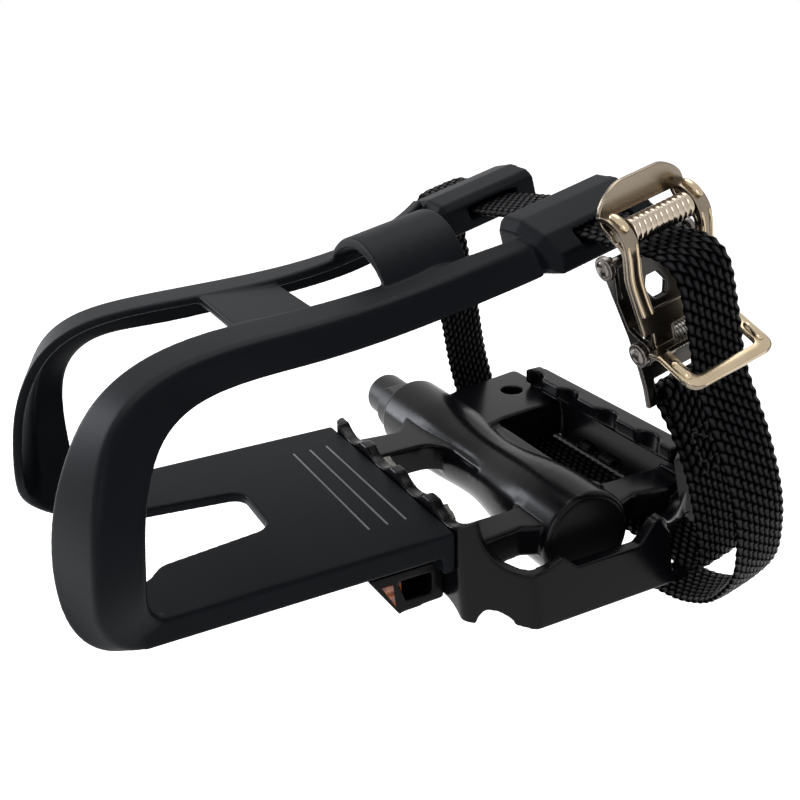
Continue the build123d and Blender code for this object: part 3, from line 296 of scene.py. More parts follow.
@dataclass(frozen=True)
class PrismLens(Finish):
    """Amber acrylic with small pyramids moulded in its back, which sparkle one by one."""

    prism: float = 2.2

    def surface(self, tree: bpy.types.NodeTree) -> dict:
        """Draws the pyramids as relief and as steps of amber.

        Args:
            tree: the material's node tree.

        Returns:
            The shader's colour, roughness and normal sockets.
        """
        place = add_node(tree, "ShaderNodeTexCoord").outputs["Object"]
        turned = add_node(tree, "ShaderNodeMapping", {}, {
            "Vector": place, "Rotation": (math.radians(45), 0.0, 0.0), "Scale": [1 / (self.prism * MM)] * 3})
        parts = add_node(tree, "ShaderNodeSeparateXYZ", {}, {0: turned.outputs[0]})
        slopes = [add_node(tree, "ShaderNodeMath", {"operation": "PINGPONG"}, {
            0: parts.outputs[axis], 1: 0.5}).outputs[0] for axis in (1, 2)]
        peak = add_node(tree, "ShaderNodeMath", {"operation": "MINIMUM"}, dict(enumerate(slopes)))
        cells = add_node(tree, "ShaderNodeTexVoronoi", {"feature": "F1", "distance": "MANHATTAN"}, {
            "Vector": turned.outputs[0], "Scale": 1.0})
        colour = add_node(tree, "ShaderNodeMix", {"data_type": "RGBA"}, {
            0: cells.outputs["Distance"], 6: linear(self.colour), 7: linear(self.shade)})
        gloss = add_node(tree, "ShaderNodeMapRange", {}, {
            0: peak.outputs[0], 2: 0.5, 3: self.roughness, 4: self.roughness + self.gloss_spread})
        bump = add_node(tree, "ShaderNodeBump", {}, {
            "Height": peak.outputs[0], "Distance": self.prism * MM, "Strength": 0.7})
        return {"Base Color": colour.outputs[2], "Roughness": gloss.outputs[0], "Normal": bump.outputs[0]}


# Black paint baked on die-cast alloy: deep and glossy, with a faint orange peel over the casting.
CAST_PAINT = Finish("baked_paint_on_cast_alloy", "#08080b", "#0d0c10", 0.22, specular=0.13, patch=18.0,
                    grain=1.6, relief=0.003, gloss_spread=0.03)
# Glass-filled nylon from a spark-eroded mould: satin, with a fine even grain and soft flow shades.
NYLON = Finish("moulded_nylon", "#090c10", "#0f1217", 0.44, specular=0.06, patch=26.0, grain=0.35,
               relief=0.006, gloss_spread=0.05)
# Pale bars on the base plate's three lines: a painted highlight for the glint along their edges.
PAINTED_LINE_HIGHLIGHT = Finish("painted_line_highlight", "#8b8e90", "#75787b", 0.55, specular=0.2, patch=3.0, grain=0.3,
                    relief=0.004)
# Nylon webbing: painted shade, near black, between the floats and a painted highlight on their crowns, where
# the gloss is also stronger.
WEBBING = Webbing("woven_nylon_webbing", "#2b2b31", "#000001", 0.4, specular=0.3, gloss_spread=0.1)
# Bonded sewing thread, a little paler than the webbing it holds.
THREAD = Finish("bonded_nylon_thread", "#2a2a2d", "#1a1a1d", 0.45, specular=0.3, sheen=0.05, patch=0.8,
                grain=0.25, relief=0.02)
# Satin nickel on pressed steel: warm grey metal with a faint drawn cloud.
NICKEL = Finish("satin_nickel_on_pressed_steel", "#8f8475", "#7a7063", 0.25, metallic=1.0, patch=9.0,
                grain=1.2, relief=0.0006, gloss_spread=0.03, stretch=(1.0, 0.15, 1.0))
# Nickel on the turned roller: brighter than the pressings, and smooth.
ROLLER_NICKEL = Finish("bright_nickel_on_turned_steel", "#c2b5a4", "#a89b8b", 0.2, metallic=1.0, patch=4.0,
                       grain=0.8, relief=0.0006, gloss_spread=0.03)
# Black nickel on pressed steel: dark mirror-like metal, a little cloudy.
GUNMETAL = Finish("black_nickel_on_pressed_steel", "#53504d", "#434140", 0.22, metallic=1.0, patch=6.0,
                  grain=1.0, relief=0.0008, gloss_spread=0.04)
# Nickel painted paler on the keeper and on the pressed pills and ridges: a painted highlight, as a lit copy
# of the lever's nickel.
NICKEL_PAINTED_HIGHLIGHT = Finish("nickel_with_painted_highlight", "#c6b599", "#ad9c82", 0.2, metallic=1.0, patch=6.0, grain=0.6,
                   relief=0.0008, gloss_spread=0.05)
# Dark nickel on the rivets, paler than the frame where the heads are peened.
RIVET = Finish("dark_nickel_on_peened_steel", "#7b7571", "#67625e", 0.24, metallic=1.0, patch=3.0, grain=0.8,
               relief=0.0008, gloss_spread=0.04)
# Zinc on turned and rolled steel: pale blue-grey metal with fine turning marks.
ZINC = Finish("zinc_on_steel", "#a9a6a0", "#94918b", 0.28, metallic=1.0, patch=4.0, grain=0.8,
              relief=0.001, gloss_spread=0.05)
# Ground bearing steel, bright and clean.
BEARING = Finish("ground_bearing_steel", "#c4c4c4", "#b0b0b0", 0.16, metallic=1.0, patch=3.0, grain=0.5,
                 relief=0.0006, gloss_spread=0.03)
# Black oxide on forged steel: near black, with a soft oily gleam.
BLACK_OXIDE = Finish("black_oxide_on_forged_steel", "#0f1013", "#0a0b0e", 0.36, metallic=0.3, specular=0.25,
                     patch=5.0, grain=0.8, relief=0.002, gloss_spread=0.05)
# Moulded ABS: smooth glossy black plastic.
ABS = Finish("moulded_abs", "#08080a", "#0d0d10", 0.3, specular=0.08, patch=15.0, grain=0.8, relief=0.002,
             gloss_spread=0.04)
# Nitrile rubber: dull black.
RUBBER = Finish("nitrile_rubber", "#0c0c0d", "#121213", 0.72, specular=0.15, patch=6.0, grain=0.5,
                relief=0.01)
# Amber acrylic: deep orange facets under a polished face.
AMBER = PrismLens("amber_acrylic", "#c8680c", "#6b2c04", 0.14, specular=0.3, coat=0.15, gloss_spread=0.1)


def pick(piece: bpy.types.Object) -> None:
    """Selects one piece alone and makes it active.

    Args:
        piece: the piece to select.
    """
    bpy.ops.object.select_all(action="DESELECT")
    piece.select_set(True)
    bpy.context.view_layer.objects.active = piece


def shaped(piece: bpy.types.Object, kind: str, **settings: object) -> None:
    """Gives a piece a modifier and applies it.

    Args:
        piece: the piece to shape.
        kind: the modifier's type name.
        settings: the modifier's properties.
    """
    pick(piece)
    modifier = piece.modifiers.new(kind.lower(), kind)
    for name, value in settings.items():
        setattr(modifier, name, value)
    bpy.ops.object.modifier_apply(modifier=modifier.name)


def cleaned(piece: bpy.types.Object, fill: bool = False) -> None:
    """Merges a piece's doubles and turns its faces outwards.

    Args:
        piece: the piece to clean.
        fill: whether open ends are closed first.
    """
    pick(piece)
    bpy.ops.object.mode_set(mode="EDIT")
    bpy.ops.mesh.select_all(action="SELECT")
    bpy.ops.mesh.remove_doubles(threshold=WELD)
    if fill:
        bpy.ops.mesh.fill_holes(sides=0)
    bpy.ops.mesh.select_all(action="SELECT")
    bpy.ops.mesh.normals_make_consistent(inside=False)
    bpy.ops.object.mode_set(mode="OBJECT")


def joined(pieces: list[bpy.types.Object], name: str) -> bpy.types.Object:
    """Joins pieces into one.

    Args:
        pieces: the pieces, in place.
        name: the joined piece's name.

    Returns:
        The joined piece.
    """
    bpy.ops.object.select_all(action="DESELECT")
    for piece in pieces:
        piece.select_set(True)
    bpy.context.view_layer.objects.active = pieces[0]
    bpy.ops.object.join()
    piece = bpy.context.object
    piece.name = name
    return piece


def from_points(name: str, points: list, edges: list, faces: list) -> bpy.types.Object:
    """Makes a piece from its points.

    Args:
        name: the piece's name.
        points: its points, in metres.
        edges: pairs of points that are joined.
        faces: rings of points that are filled.

    Returns:
        The piece, not yet dressed.
    """
    mesh = bpy.data.meshes.new(name)
    mesh.from_pydata(points, edges, faces)
    piece = bpy.data.objects.new(name, mesh)
    bpy.context.scene.collection.objects.link(piece)
    return piece


def settled(piece: bpy.types.Object, finish: Finish, body: Body, slot: Slot, *nodes: str) -> None:
    """Dresses a finished piece and hands it to its body.

    Args:
        piece: the piece, in place.
        finish: what it is made of.
        body: the body that it moves with.
        slot: the record's material slot; not used.
        nodes: the CAD nodes that it stands for.
    """
    piece.data.materials.clear()
    piece.data.materials.append(finish.material())
    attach(piece, body.value)
    if nodes:
        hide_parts(*nodes)
    LOG.info("%s: %d faces, %s", piece.name, len(piece.data.polygons), finish.name)


@dataclass
class EasedForm:
    """A CAD solid copied and eased, as a mould, a press or a tumbler leaves its edges.

    The voxel is the fineness in millimetres, each pass rounds the edges a little more, and keep is the
    share of faces left where the form is thinned.
    """

    node: str
    voxel: float
    passes: int
    keep: float = 1.0
    easing: float = 0.5

    def build(self, frame: dict) -> bpy.types.Object:
        """Copies the solid and eases it.

        Args:
            frame: the loaded model.

        Returns:
            The eased piece, not yet dressed.
        """
        piece = bpy.data.objects.new(self.node + "_form", frame["nodes"][self.node].data.copy())
        bpy.context.scene.collection.objects.link(piece)
        pick(piece)
        bpy.ops.object.mode_set(mode="EDIT")
        bpy.ops.mesh.select_all(action="SELECT")
        bpy.ops.mesh.remove_doubles(threshold=SEAM)
        bpy.ops.object.mode_set(mode="OBJECT")
        shaped(piece, "REMESH", mode="VOXEL", voxel_size=self.voxel * MM, use_smooth_shade=True)
        shaped(piece, "SMOOTH", factor=self.easing, iterations=self.passes)
        if self.keep < 1.0:
            shaped(piece, "DECIMATE", ratio=self.keep)
        pick(piece)
        bpy.ops.object.shade_smooth_by_angle(angle=CREASE)
        return piece


@dataclass
class StrapPlane:
    """The leaning plane of the strap and the buckle, in millimetres."""

    lean: float = 14.6
    start: float = -26.1

    def at(self, y: float, u: float, w: float = 0.0) -> Vector:
        """Gives a point of the frame, in metres, from a place in the plane.

        Args:
            y: how far outboard.
            u: how far up the lean.
            w: how far ahead of the plane.

        Returns:
            The point.
        """
        turn = math.radians(self.lean)
        x = self.start + u * math.sin(turn) + w * math.cos(turn)
        return Vector((x, y, u * math.cos(turn) - w * math.sin(turn))) * MM

    def ahead(self) -> Vector:
        """Gives the direction across the strap."""
        turn = math.radians(self.lean)
        return Vector((math.cos(turn), 0.0, -math.sin(turn)))


@dataclass
class CastBody:
    """Die-cast pedal body: barrel, arms and toothed cage."""

    form: EasedForm = field(default_factory=lambda: EasedForm("pedal_body", 0.32, 10, 0.27))

    def build(self, frame: dict) -> None:
        """Eases the casting and paints it."""
        settled(self.form.build(frame), CAST_PAINT, Body.PEDAL, Slot.CAST, self.form.node)


@dataclass
class ToeClip:
    """Moulded toe clip: base plate, rails, cross plate, bridge and strap loops."""

    form: EasedForm = field(default_factory=lambda: EasedForm("toe_clip", 0.38, 9, 0.3))
    line_count: int = 3
    line_pitch: float = 5.1
    line_start: float = 44.2
    line_length: float = 50.0
    line_width: float = 0.5
    line_depth: float = 0.06
    plate_top: float = 10.6
    centre: float = 63.6

    def lines(self) -> None:
        """Lays pale bars on the plate's three lines, a painted highlight for the glint along them."""
        bars = []
        for index in range(self.line_count):
            x = self.line_start + index * self.line_pitch
            bpy.ops.object.select_all(action="DESELECT")
            bpy.ops.mesh.primitive_cube_add(size=MM, location=(x * MM, self.centre * MM, self.plate_top * MM))
            bar = bpy.context.object
            bar.scale = (self.line_width, self.line_length, 2 * self.line_depth)
            bpy.ops.object.transform_apply(location=True, rotation=True, scale=True)
            bars.append(bar)
        settled(joined(bars, "plate_line_highlights"), PAINTED_LINE_HIGHLIGHT, Body.PEDAL, Slot.CLIP)

    def build(self, frame: dict) -> None:
        """Eases the moulding, dresses it and lays the painted highlights on the plate's lines."""
        settled(self.form.build(frame), NYLON, Body.PEDAL, Slot.CLIP, self.form.node)
        self.lines()


@dataclass
class Strap:
    """Woven strap: folded round the buckle's bar, round under the foot and over to its free end.

    The route gives each corner as its place outboard, its place up the lean and its bend. The thickness is
    that of the ground under the floats, and the loop is how far a float stands above it.
    """

    plane: StrapPlane
    width: float = 15.0
    thickness: float = 1.1
    step: float = 0.55
    columns: int = 48
    loop: float = 0.55
    scallop: float = 0.03
    edge_power: int = 5
    bend_points: int = 9
    bend_share: float = 0.48
    softening: int = 3
    route: tuple = (
        (128.3, 27.6, 0), (124.8, 39.6, 40), (122.15, 49.6, 1.9), (117.85, 49.6, 1.9), (118.15, 44.1, 12),
        (122.4, 36.6, 40), (125.4, 26.6, 40), (126.2, 11.6, 60), (124.8, -6.4, 9), (8.0, -6.4, 9),
        (7.0, 15.0, 60), (12.0, 42.0, 80), (15.5, 79.7, 8), (50.6, 79.7, 40), (76.6, 83.2, 40),
        (106.2, 83.2, 40), (116.0, 83.7, 40), (132.4, 83.4, 8), (133.2, 66.0, 60), (133.2, 54.0, 30),
        (138.6, 38.0, 60), (141.4, 20.0, 50), (137.6, 1.0, 30), (126.4, -13.5, 30), (114.4, -20.5, 40),
        (102.4, -23.0, 0))

    def corner(self, index: int) -> list[np.ndarray]:
        """Rounds one corner of the route.

        Args:
            index: the corner's number.

        Returns:
            Points from the start of the bend to its end.
        """
        here = np.array(self.route[index][:2], float)
        if index in (0, len(self.route) - 1):
            return [here]
        come = here - np.array(self.route[index - 1][:2], float)
        leave = np.array(self.route[index + 1][:2], float) - here
        room = self.bend_share * min(np.linalg.norm(come), np.linalg.norm(leave))
        come = come / np.linalg.norm(come)
        leave = leave / np.linalg.norm(leave)
        turn = math.acos(float(np.clip(come @ leave, -1, 1)))
        reach = min(self.route[index][2] * math.tan(turn / 2), room)
        start = here - come * reach
        end = here + leave * reach
        shares = np.linspace(0, 1, self.bend_points)
        return [(1 - t) ** 2 * start + 2 * t * (1 - t) * here + t ** 2 * end for t in shares]

    def centre_line(self) -> np.ndarray:
        """Walks the route in even steps.

        Returns:
            Places outboard and up the lean, one row a step.
        """
        points = np.array([point for index in range(len(self.route)) for point in self.corner(index)])
        runs = np.concatenate(([0.0], np.cumsum(np.linalg.norm(np.diff(points, axis=0), axis=1))))
        count = int(runs[-1] / self.step) + 1
        marks = np.linspace(0, runs[-1], count)
        line = np.stack([np.interp(marks, runs, points[:, axis]) for axis in (0, 1)], axis=1)
        for _ in range(self.softening):
            line[1:-1] = (line[:-2] + 2 * line[1:-1] + line[2:]) / 4
        return line

    def normals(self, line: np.ndarray) -> np.ndarray:
        """Gives the direction out of the strap's face.

        Args:
            line: the strap's line, one row a step.

        Returns:
            The direction at each step.
        """
        run = np.gradient(line, axis=0)
        run = run / np.linalg.norm(run, axis=1, keepdims=True)
        return np.stack((run[:, 1], -run[:, 0]), axis=1)

    def floats(self, across: np.ndarray, along: np.ndarray, shift: float) -> np.ndarray:
        """Gives the height of the woven floats, from 0 to 1.

        Args:
            across: millimetres across the strap.
            along: millimetres along it.
            shift: how far this face's floats are moved along, in floats.

        Returns:
            The height at each place.
        """
        rib = np.floor(across / WEBBING.rib)
        x = across / WEBBING.rib - rib - 0.5
        hand = np.abs(np.mod(rib, 2))
        phase = along / WEBBING.float_length + x * WEBBING.slant + 0.5 * hand + shift
        y = phase - np.floor(phase) - 0.5
        return np.clip(np.cos(math.pi * x) * np.cos(math.pi * y), 0, 1) ** WEBBING.plump

    def build(self) -> None:
        """Weaves the strap as one closed band."""
        line = self.centre_line()
        normal = self.normals(line)
        steps = len(line)
        along = (self.step * np.arange(steps))[:, None]
        half = self.width / 2
        sweep = np.linspace(-half, half, self.columns + 1)
        across = np.concatenate((sweep, sweep[-2::-1]))[None, :]
        face = np.concatenate((np.ones(self.columns + 1), -np.ones(self.columns)))[None, :]
        round_off = np.sqrt(np.clip(1 - np.abs(across / half) ** self.edge_power, 0, 1))
        outside = self.floats(across + half, along, 0.0)
        floats = np.where(face > 0, outside, self.floats(across + half, along, 0.5))
        lift = face * round_off * (self.thickness / 2 + self.loop * floats)
        edge = 1 + self.scallop * np.cos(2 * math.pi * along / WEBBING.float_length) - self.scallop
        w = across * edge
        y = line[:, :1] + normal[:, :1] * lift
        u = line[:, 1:] + normal[:, 1:] * lift
        turn = math.radians(self.plane.lean)
        x = self.plane.start + u * math.sin(turn) + w * math.cos(turn)
        z = u * math.cos(turn) - w * math.sin(turn)
        places = np.stack((x, y, z), axis=2).reshape(-1, 3) * MM
        marks = np.stack(np.broadcast_arrays(across + half, along, face), axis=2).reshape(-1, 3)
        bpy.ops.object.select_all(action="DESELECT")
        bpy.ops.mesh.primitive_grid_add(x_subdivisions=2 * self.columns, y_subdivisions=steps - 1, size=1)
        piece = bpy.context.object
        piece.name = "woven_strap"
        piece.data.vertices.foreach_set("co", places.ravel())
        weave = piece.data.attributes.new("weave", "FLOAT_VECTOR", "POINT")
        weave.data.foreach_set("vector", marks.astype(np.float32).ravel())
        piece.data.update()
        cleaned(piece, fill=True)
        pick(piece)
        bpy.ops.object.shade_smooth()
        settled(piece, WEBBING, Body.PEDAL, Slot.STRAP, "toe_strap")

    def place(self, along: float, across: float, lift: float) -> Vector:
        """Finds a place on the strap.

        Args:
            along: millimetres from the sewn end.
            across: millimetres ahead of the middle.
            lift: millimetres out of the face that looks outboard at the sewn end.

        Returns:
            The point, in metres.
        """
        line = self.centre_line()
        normal = self.normals(line)
        index = min(int(along / self.step), len(line) - 1)
        spot = line[index] + normal[index] * lift
        return self.plane.at(spot[0], spot[1], across)


@dataclass
class Stitching:
    """Box of stitches that holds the strap's folded end.

    The gap is the share of each stitch's room that is left free at either end.
    """

    strap: Strap
    length: float = 8.0
    width: float = 9.0
    start: float = 3.0
    stitch: float = 1.7
    yarn: float = 0.28
    lift: float = 1.0
    gap: float = 0.12

    def seats(self) -> list[tuple[Vector, Vector]]:
        """Lists where each stitch starts and ends.

        Returns:
            Pairs of points round the box and along one diagonal.
        """
        half = self.width / 2
        low = self.start
        high = self.start + self.length
        corners = [(low, -half), (low, half), (high, half), (high, -half), (low, -half), (high, half)]
        seats = []
        for (a, b), (c, d) in zip(corners, corners[1:]):
            count = max(2, round(math.hypot(c - a, d - b) / self.stitch))
            for index in range(count):
                shares = ((index + self.gap) / count, (index + (1 - self.gap)) / count)
                ends = [self.strap.place(a + (c - a) * t, b + (d - b) * t, self.lift) for t in shares]
                seats.append((ends[0], ends[1]))
        return seats

    def build(self) -> None:
        """Sews the box, one short plump thread for each stitch."""
        stitches = []
        for start, end in self.seats():
            bpy.ops.object.select_all(action="DESELECT")
            bpy.ops.mesh.primitive_uv_sphere_add(segments=8, ring_count=6, radius=self.yarn * MM)
            stitch = bpy.context.object
            stretch = (end - start).length / (2 * self.yarn * MM)
            turn = Vector((0, 0, 1)).rotation_difference(end - start).to_matrix().to_4x4()
            middle = Matrix.Translation((start + end) / 2)
            stitch.data.transform(middle @ turn @ Matrix.Diagonal((1, 1, stretch, 1)))
            stitches.append(stitch)
        piece = joined(stitches, "strap_stitching")
        bpy.ops.object.shade_smooth()
        settled(piece, THREAD, Body.PEDAL, Slot.STRAP)


@dataclass
class Buckle:
    """Cam buckle: pressed frame, finger lever with its keeper, ribbed roller and rivets.

    Places are given outboard and up the lean. The arm's line is given from the roller and its foot from the
    pivot, and the pill's shift from the arm's line. The keeper's corners are given back from its end and in
    from its side.
    """

    plane: StrapPlane
    pivot: tuple[float, float] = (121.2, 60.7)
    roller: tuple[float, float] = (119.4, 88.8)
    roller_length: float = 16.4
    roller_radius: float = 3.0
    roller_bore: float = 1.26
    anvil: tuple[float, float] = (114.0, 80.4)
    ribs: int = 11
    rib_depth: float = 0.55
    lever_half_width: float = 11.8
    arm: float = 3.4
    rivet_face: float = 12.4
    rivet_dome: float = 2.1
    rivet_rise: float = 0.8
    sheet: float = 1.2
    sheet_ease: float = 0.3
    lever_ease: tuple[float, int] = (0.16, 7)
    frame_ease: tuple[float, int] = (0.18, 6)
    pin_ease: tuple[float, int] = (0.14, 6)
    bead_end: float = 0.35
    bead_shoulder: float = 0.2
    pill_radius: float = 1.0
    pill_shift: tuple = ((1.0, 0.6), (0.7, 0.72), (1.1, 0.6))
    ridge_radius: float = 0.45
    ridge_spread: float = 1.05
    ridge_lift: float = 0.9
    rib_edge: float = 0.06
    rib_points: int = 7
    rib_power: int = 4
    turns: int = 40
    arm_gap: float = 0.1
    arm_cuts: int = 2
    arm_line: tuple = (
        (-5.4, 3.1), (-3.6, 3.6), (-0.8, 3.0), (1.8, 1.1), (3.1, -1.5), (3.1, -5.0), (2.5, -9.6))
    arm_foot: tuple = ((1.7, 14.2), (3.0, 10.2))
    ridge_start: int = 4
    keeper_end: float = 138.4
    keeper_half_width: float = 12.0
    keeper_root: float = 6.6
    keeper_seat: tuple[float, float] = (7.0, 1.4)
    keeper_fall: float = 4.8 / 10.2
    keeper_arm: float = 3.3
    keeper_extra: float = 0.2
    keeper_corner: tuple = ((3.4, 0.0), (1.6, 0.5), (0.5, 1.6), (0.0, 3.4))
    keeper_hole: tuple = ((4.0, 3.3), (3.2, 3.5), (2.8, 4.2), (2.8, 5.0))
    keeper_pill: tuple = (7.6, 5.0, 2.4)
    keeper_pill_inset: float = 1.75
    keeper_pill_lift: float = 0.75
    tab_start: float = 2.4
    tab_reach: float = 10.2
    tab_draw: float = 0.62

    def bead(self, points: list[tuple[float, float, float]], radius: float, name: str) -> None:
        """Presses a round-ended bead into the lever.

        Args:
            points: the bead's line as outboard, up the lean and ahead.
            radius: the bead's radius in millimetres.
            name: the bead's name.
        """
        curve = bpy.data.curves.new(name, "CURVE")
        curve.dimensions = "3D"
        curve.bevel_depth = radius * MM
        curve.bevel_resolution = 5
        curve.resolution_u = 8
        curve.use_fill_caps = True
        near = self.bead_shoulder
        first = tuple((1 - near) * a + near * b for a, b in zip(points[0], points[1]))
        last = tuple((1 - near) * a + near * b for a, b in zip(points[-1], points[-2]))
        points = [points[0], first, *points[1:-1], last, points[-1]]
        spline = curve.splines.new("NURBS")
        spline.points.add(len(points) - 1)
        for point, (y, u, w) in zip(spline.points, points):
            point.co = (*self.plane.at(y, u, w), 1.0)
        spline.order_u = 3
        spline.use_endpoint_u = True
        spline.points[0].radius = self.bead_end
        spline.points[-1].radius = self.bead_end
        piece = bpy.data.objects.new(name, curve)
        bpy.context.scene.collection.objects.link(piece)
        pick(piece)
        bpy.ops.object.convert(target="MESH")
        piece = bpy.context.object
        cleaned(piece)
        pick(piece)
        bpy.ops.object.shade_smooth()
        # The beads take the paler nickel, which paints their highlight.
        settled(piece, NICKEL_PAINTED_HIGHLIGHT, Body.LEVER, Slot.NICKEL)

    def arm_path(self) -> list[tuple[float, float]]:
        """Lists the line of an arm's pressing.

        Returns:
            Places outboard and up the lean, from the crease to the arm's foot.
        """
        over = [(self.roller[0] + y, self.roller[1] + u) for y, u in self.arm_line]
        return over + [(self.pivot[0] + y, self.pivot[1] + u) for y, u in self.arm_foot]

    def pressed(self, rows: list[list[Vector]], thickness: float, name: str, finish: Finish) -> None:
        """Presses a strip of sheet with eased edges.

        Args:
            rows: points across the strip, row by row along it, in metres.
            thickness: the sheet's thickness in millimetres.
            name: the piece's name.
            finish: how the sheet is plated.
        """
        count = len(rows[0])
        points = [point for row in rows for point in row]
        faces = []
        for start in range(0, len(points) - count, count):
            for near in range(start, start + count - 1):
                faces.append((near, near + 1, near + count + 1, near + count))
        piece = from_points(name, points, [], faces)
        cleaned(piece)
        shaped(piece, "SOLIDIFY", thickness=thickness * MM, offset=0.0, use_even_offset=True)
        shaped(piece, "BEVEL", width=self.sheet_ease * MM, segments=3, limit_method="ANGLE",
               angle_limit=CREASE)
        cleaned(piece)
        pick(piece)
        bpy.ops.object.shade_smooth_by_angle(angle=PRESSED_CREASE)
        settled(piece, finish, Body.LEVER, Slot.NICKEL)

    def smooth(self, path: list[tuple[float, float]], steps: int) -> list[tuple[float, float]]:
        """Rounds an open line by cutting its corners.

        Args:
            path: the line's corners.
            steps: how many times the corners are cut.

        Returns:
            The rounded line, with the same ends.
        """
        for _ in range(steps):
            cut = [path[0]]
            for (a, b), (c, d) in zip(path, path[1:]):
                cut.append((0.75 * a + 0.25 * c, 0.75 * b + 0.25 * d))
                cut.append((0.25 * a + 0.75 * c, 0.25 * b + 0.75 * d))
            path = cut + [path[-1]]
        return path

    def arms(self) -> None:
        """Presses the two arms over the roller's ends, each with a pill and two ridges."""
        line = self.arm_path()
        path = self.smooth(line, self.arm_cuts)
        inner = self.lever_half_width - self.arm + self.arm_gap
        outer = self.lever_half_width
        out = self.sheet / 2
        pill = [(y + a, u + b) for (y, u), (a, b) in zip(line[1:], self.pill_shift)]
        for side, name in ((1, "front"), (-1, "rear")):
            across = [side * (inner + (outer - inner) * t) for t in (0, 0.5, 1)]
            rows = [[self.plane.at(y, u, w) for w in across] for y, u in path]
            self.pressed(rows, self.sheet, "lever_arm_" + name, NICKEL)
            w = side * (inner + outer) / 2
            self.bead([(y, u, w) for y, u in pill], self.pill_radius, "lever_pill_" + name)
            for edge, end in ((-self.ridge_spread, "_a"), (self.ridge_spread, "_b")):
                ridge = [(y + self.ridge_lift * out, u, w + edge) for y, u in line[self.ridge_start:]]
                self.bead(ridge, self.ridge_radius, "lever_ridge_" + name + end)

    def keeper_height(self, y: float) -> float:
        """Gives how far up the lean the keeper's plane is at a place outboard."""
        run, rise = self.keeper_seat
        return self.pivot[1] + rise - (y - self.pivot[0] - run) * self.keeper_fall

    def keeper(self) -> None:
        """Presses the keeper that holds the free end down, with a pill at each corner."""
        top = self.pivot[0] + self.keeper_root
        end = self.keeper_end
        half = self.keeper_half_width
        rim = [(top, half)]
        rim += [(end - back, half - inset) for back, inset in self.keeper_corner]
        hole = [(top, half - self.keeper_arm)]
        hole += [(end - back, half - inset) for back, inset in self.keeper_hole]
        rows = []
        for pair in zip(rim, hole):
            rows.append([self.plane.at(y, self.keeper_height(y), w) for y, w in pair])
        for pair in zip(reversed(rim), reversed(hole)):
            rows.append([self.plane.at(y, self.keeper_height(y), -w) for y, w in pair])
        # The keeper takes the paler nickel, which paints its highlight.
        self.pressed(rows, self.sheet + self.keeper_extra, "keeper_plate", NICKEL_PAINTED_HIGHLIGHT)
        for side, name in ((1, "front"), (-1, "rear")):
            w = side * (half - self.keeper_pill_inset)
            seats = [(end - back, self.keeper_height(end - back) + self.keeper_pill_lift, w)
                     for back in self.keeper_pill]
            self.bead(seats, self.pill_radius, "keeper_pill_" + name)

    def crescent(self, piece: bpy.types.Object) -> None:
        """Draws the finger tab's sides in to a crescent.

        Args:
            piece: the eased lever.
        """
        start = self.roller[1] + self.tab_start
        turn = math.radians(self.plane.lean)
        ahead = np.array(self.plane.ahead())
        places = np.empty(3 * len(piece.data.vertices))
        piece.data.vertices.foreach_get("co", places)
        places = places.reshape(-1, 3)
        local = places - np.array((self.plane.start * MM, 0.0, 0.0))
        w = local @ ahead
        u = local @ np.array((math.sin(turn), 0.0, math.cos(turn))) / MM
        share = np.clip((u - start) / self.tab_reach, 0, 1)
        inset = 1 - np.sqrt(1 - self.tab_draw * share ** 2)
        places -= (w * inset)[:, None] * ahead
        piece.data.vertices.foreach_set("co", places.ravel())
        piece.data.update()

    def rivets(self) -> None:
        """Sets a dome on each rivet's head."""
        domes = []
        turn = Vector((0, 0, 1)).rotation_difference(self.plane.ahead()).to_matrix().to_4x4()
        flat = Matrix.Diagonal((1, 1, self.rivet_rise / self.rivet_dome, 1))
        for y, u in (self.pivot, self.anvil):
            for side in (-1, 1):
                bpy.ops.object.select_all(action="DESELECT")
                bpy.ops.mesh.primitive_uv_sphere_add(segments=32, ring_count=16, radius=self.rivet_dome * MM)
                dome = bpy.context.object
                seat = Matrix.Translation(self.plane.at(y, u, side * self.rivet_face))
                dome.data.transform(seat @ turn @ flat)
                domes.append(dome)
        piece = joined(domes, "rivet_domes")
        bpy.ops.object.shade_smooth()
        settled(piece, RIVET, Body.PEDAL, Slot.GUNMETAL)

    def ribbed_roller(self) -> None:
        """Turns the roller's plump ribs about its pin."""
        pitch = self.roller_length / self.ribs
        half = self.roller_length / 2
        outline = [(self.roller_bore, -half)]
        shares = np.linspace(self.rib_edge, 1 - self.rib_edge, self.rib_points)
        for rib in range(self.ribs):
            for share in shares:
                radius = self.roller_radius - self.rib_depth * (2 * share - 1) ** self.rib_power
                outline.append((radius, -half + (rib + share) * pitch))
        outline.append((self.roller_bore, half))
        y, u = self.roller
        points = [self.plane.at(y + radius, u, w) for radius, w in outline]
        edges = [(index, (index + 1) % len(points)) for index in range(len(points))]
        piece = from_points("ribbed_roller", points, edges, [])
        pick(piece)
        bpy.ops.object.mode_set(mode="EDIT")
        bpy.ops.mesh.select_all(action="SELECT")
        bpy.ops.mesh.spin(steps=self.turns, angle=2 * math.pi, center=self.plane.at(y, u),
                          axis=self.plane.ahead())
        bpy.ops.object.mode_set(mode="OBJECT")
        cleaned(piece)
        pick(piece)
        bpy.ops.object.shade_smooth_by_angle(angle=CREASE)
        settled(piece, ROLLER_NICKEL, Body.ROLLER, Slot.STEEL, "strap_roller")

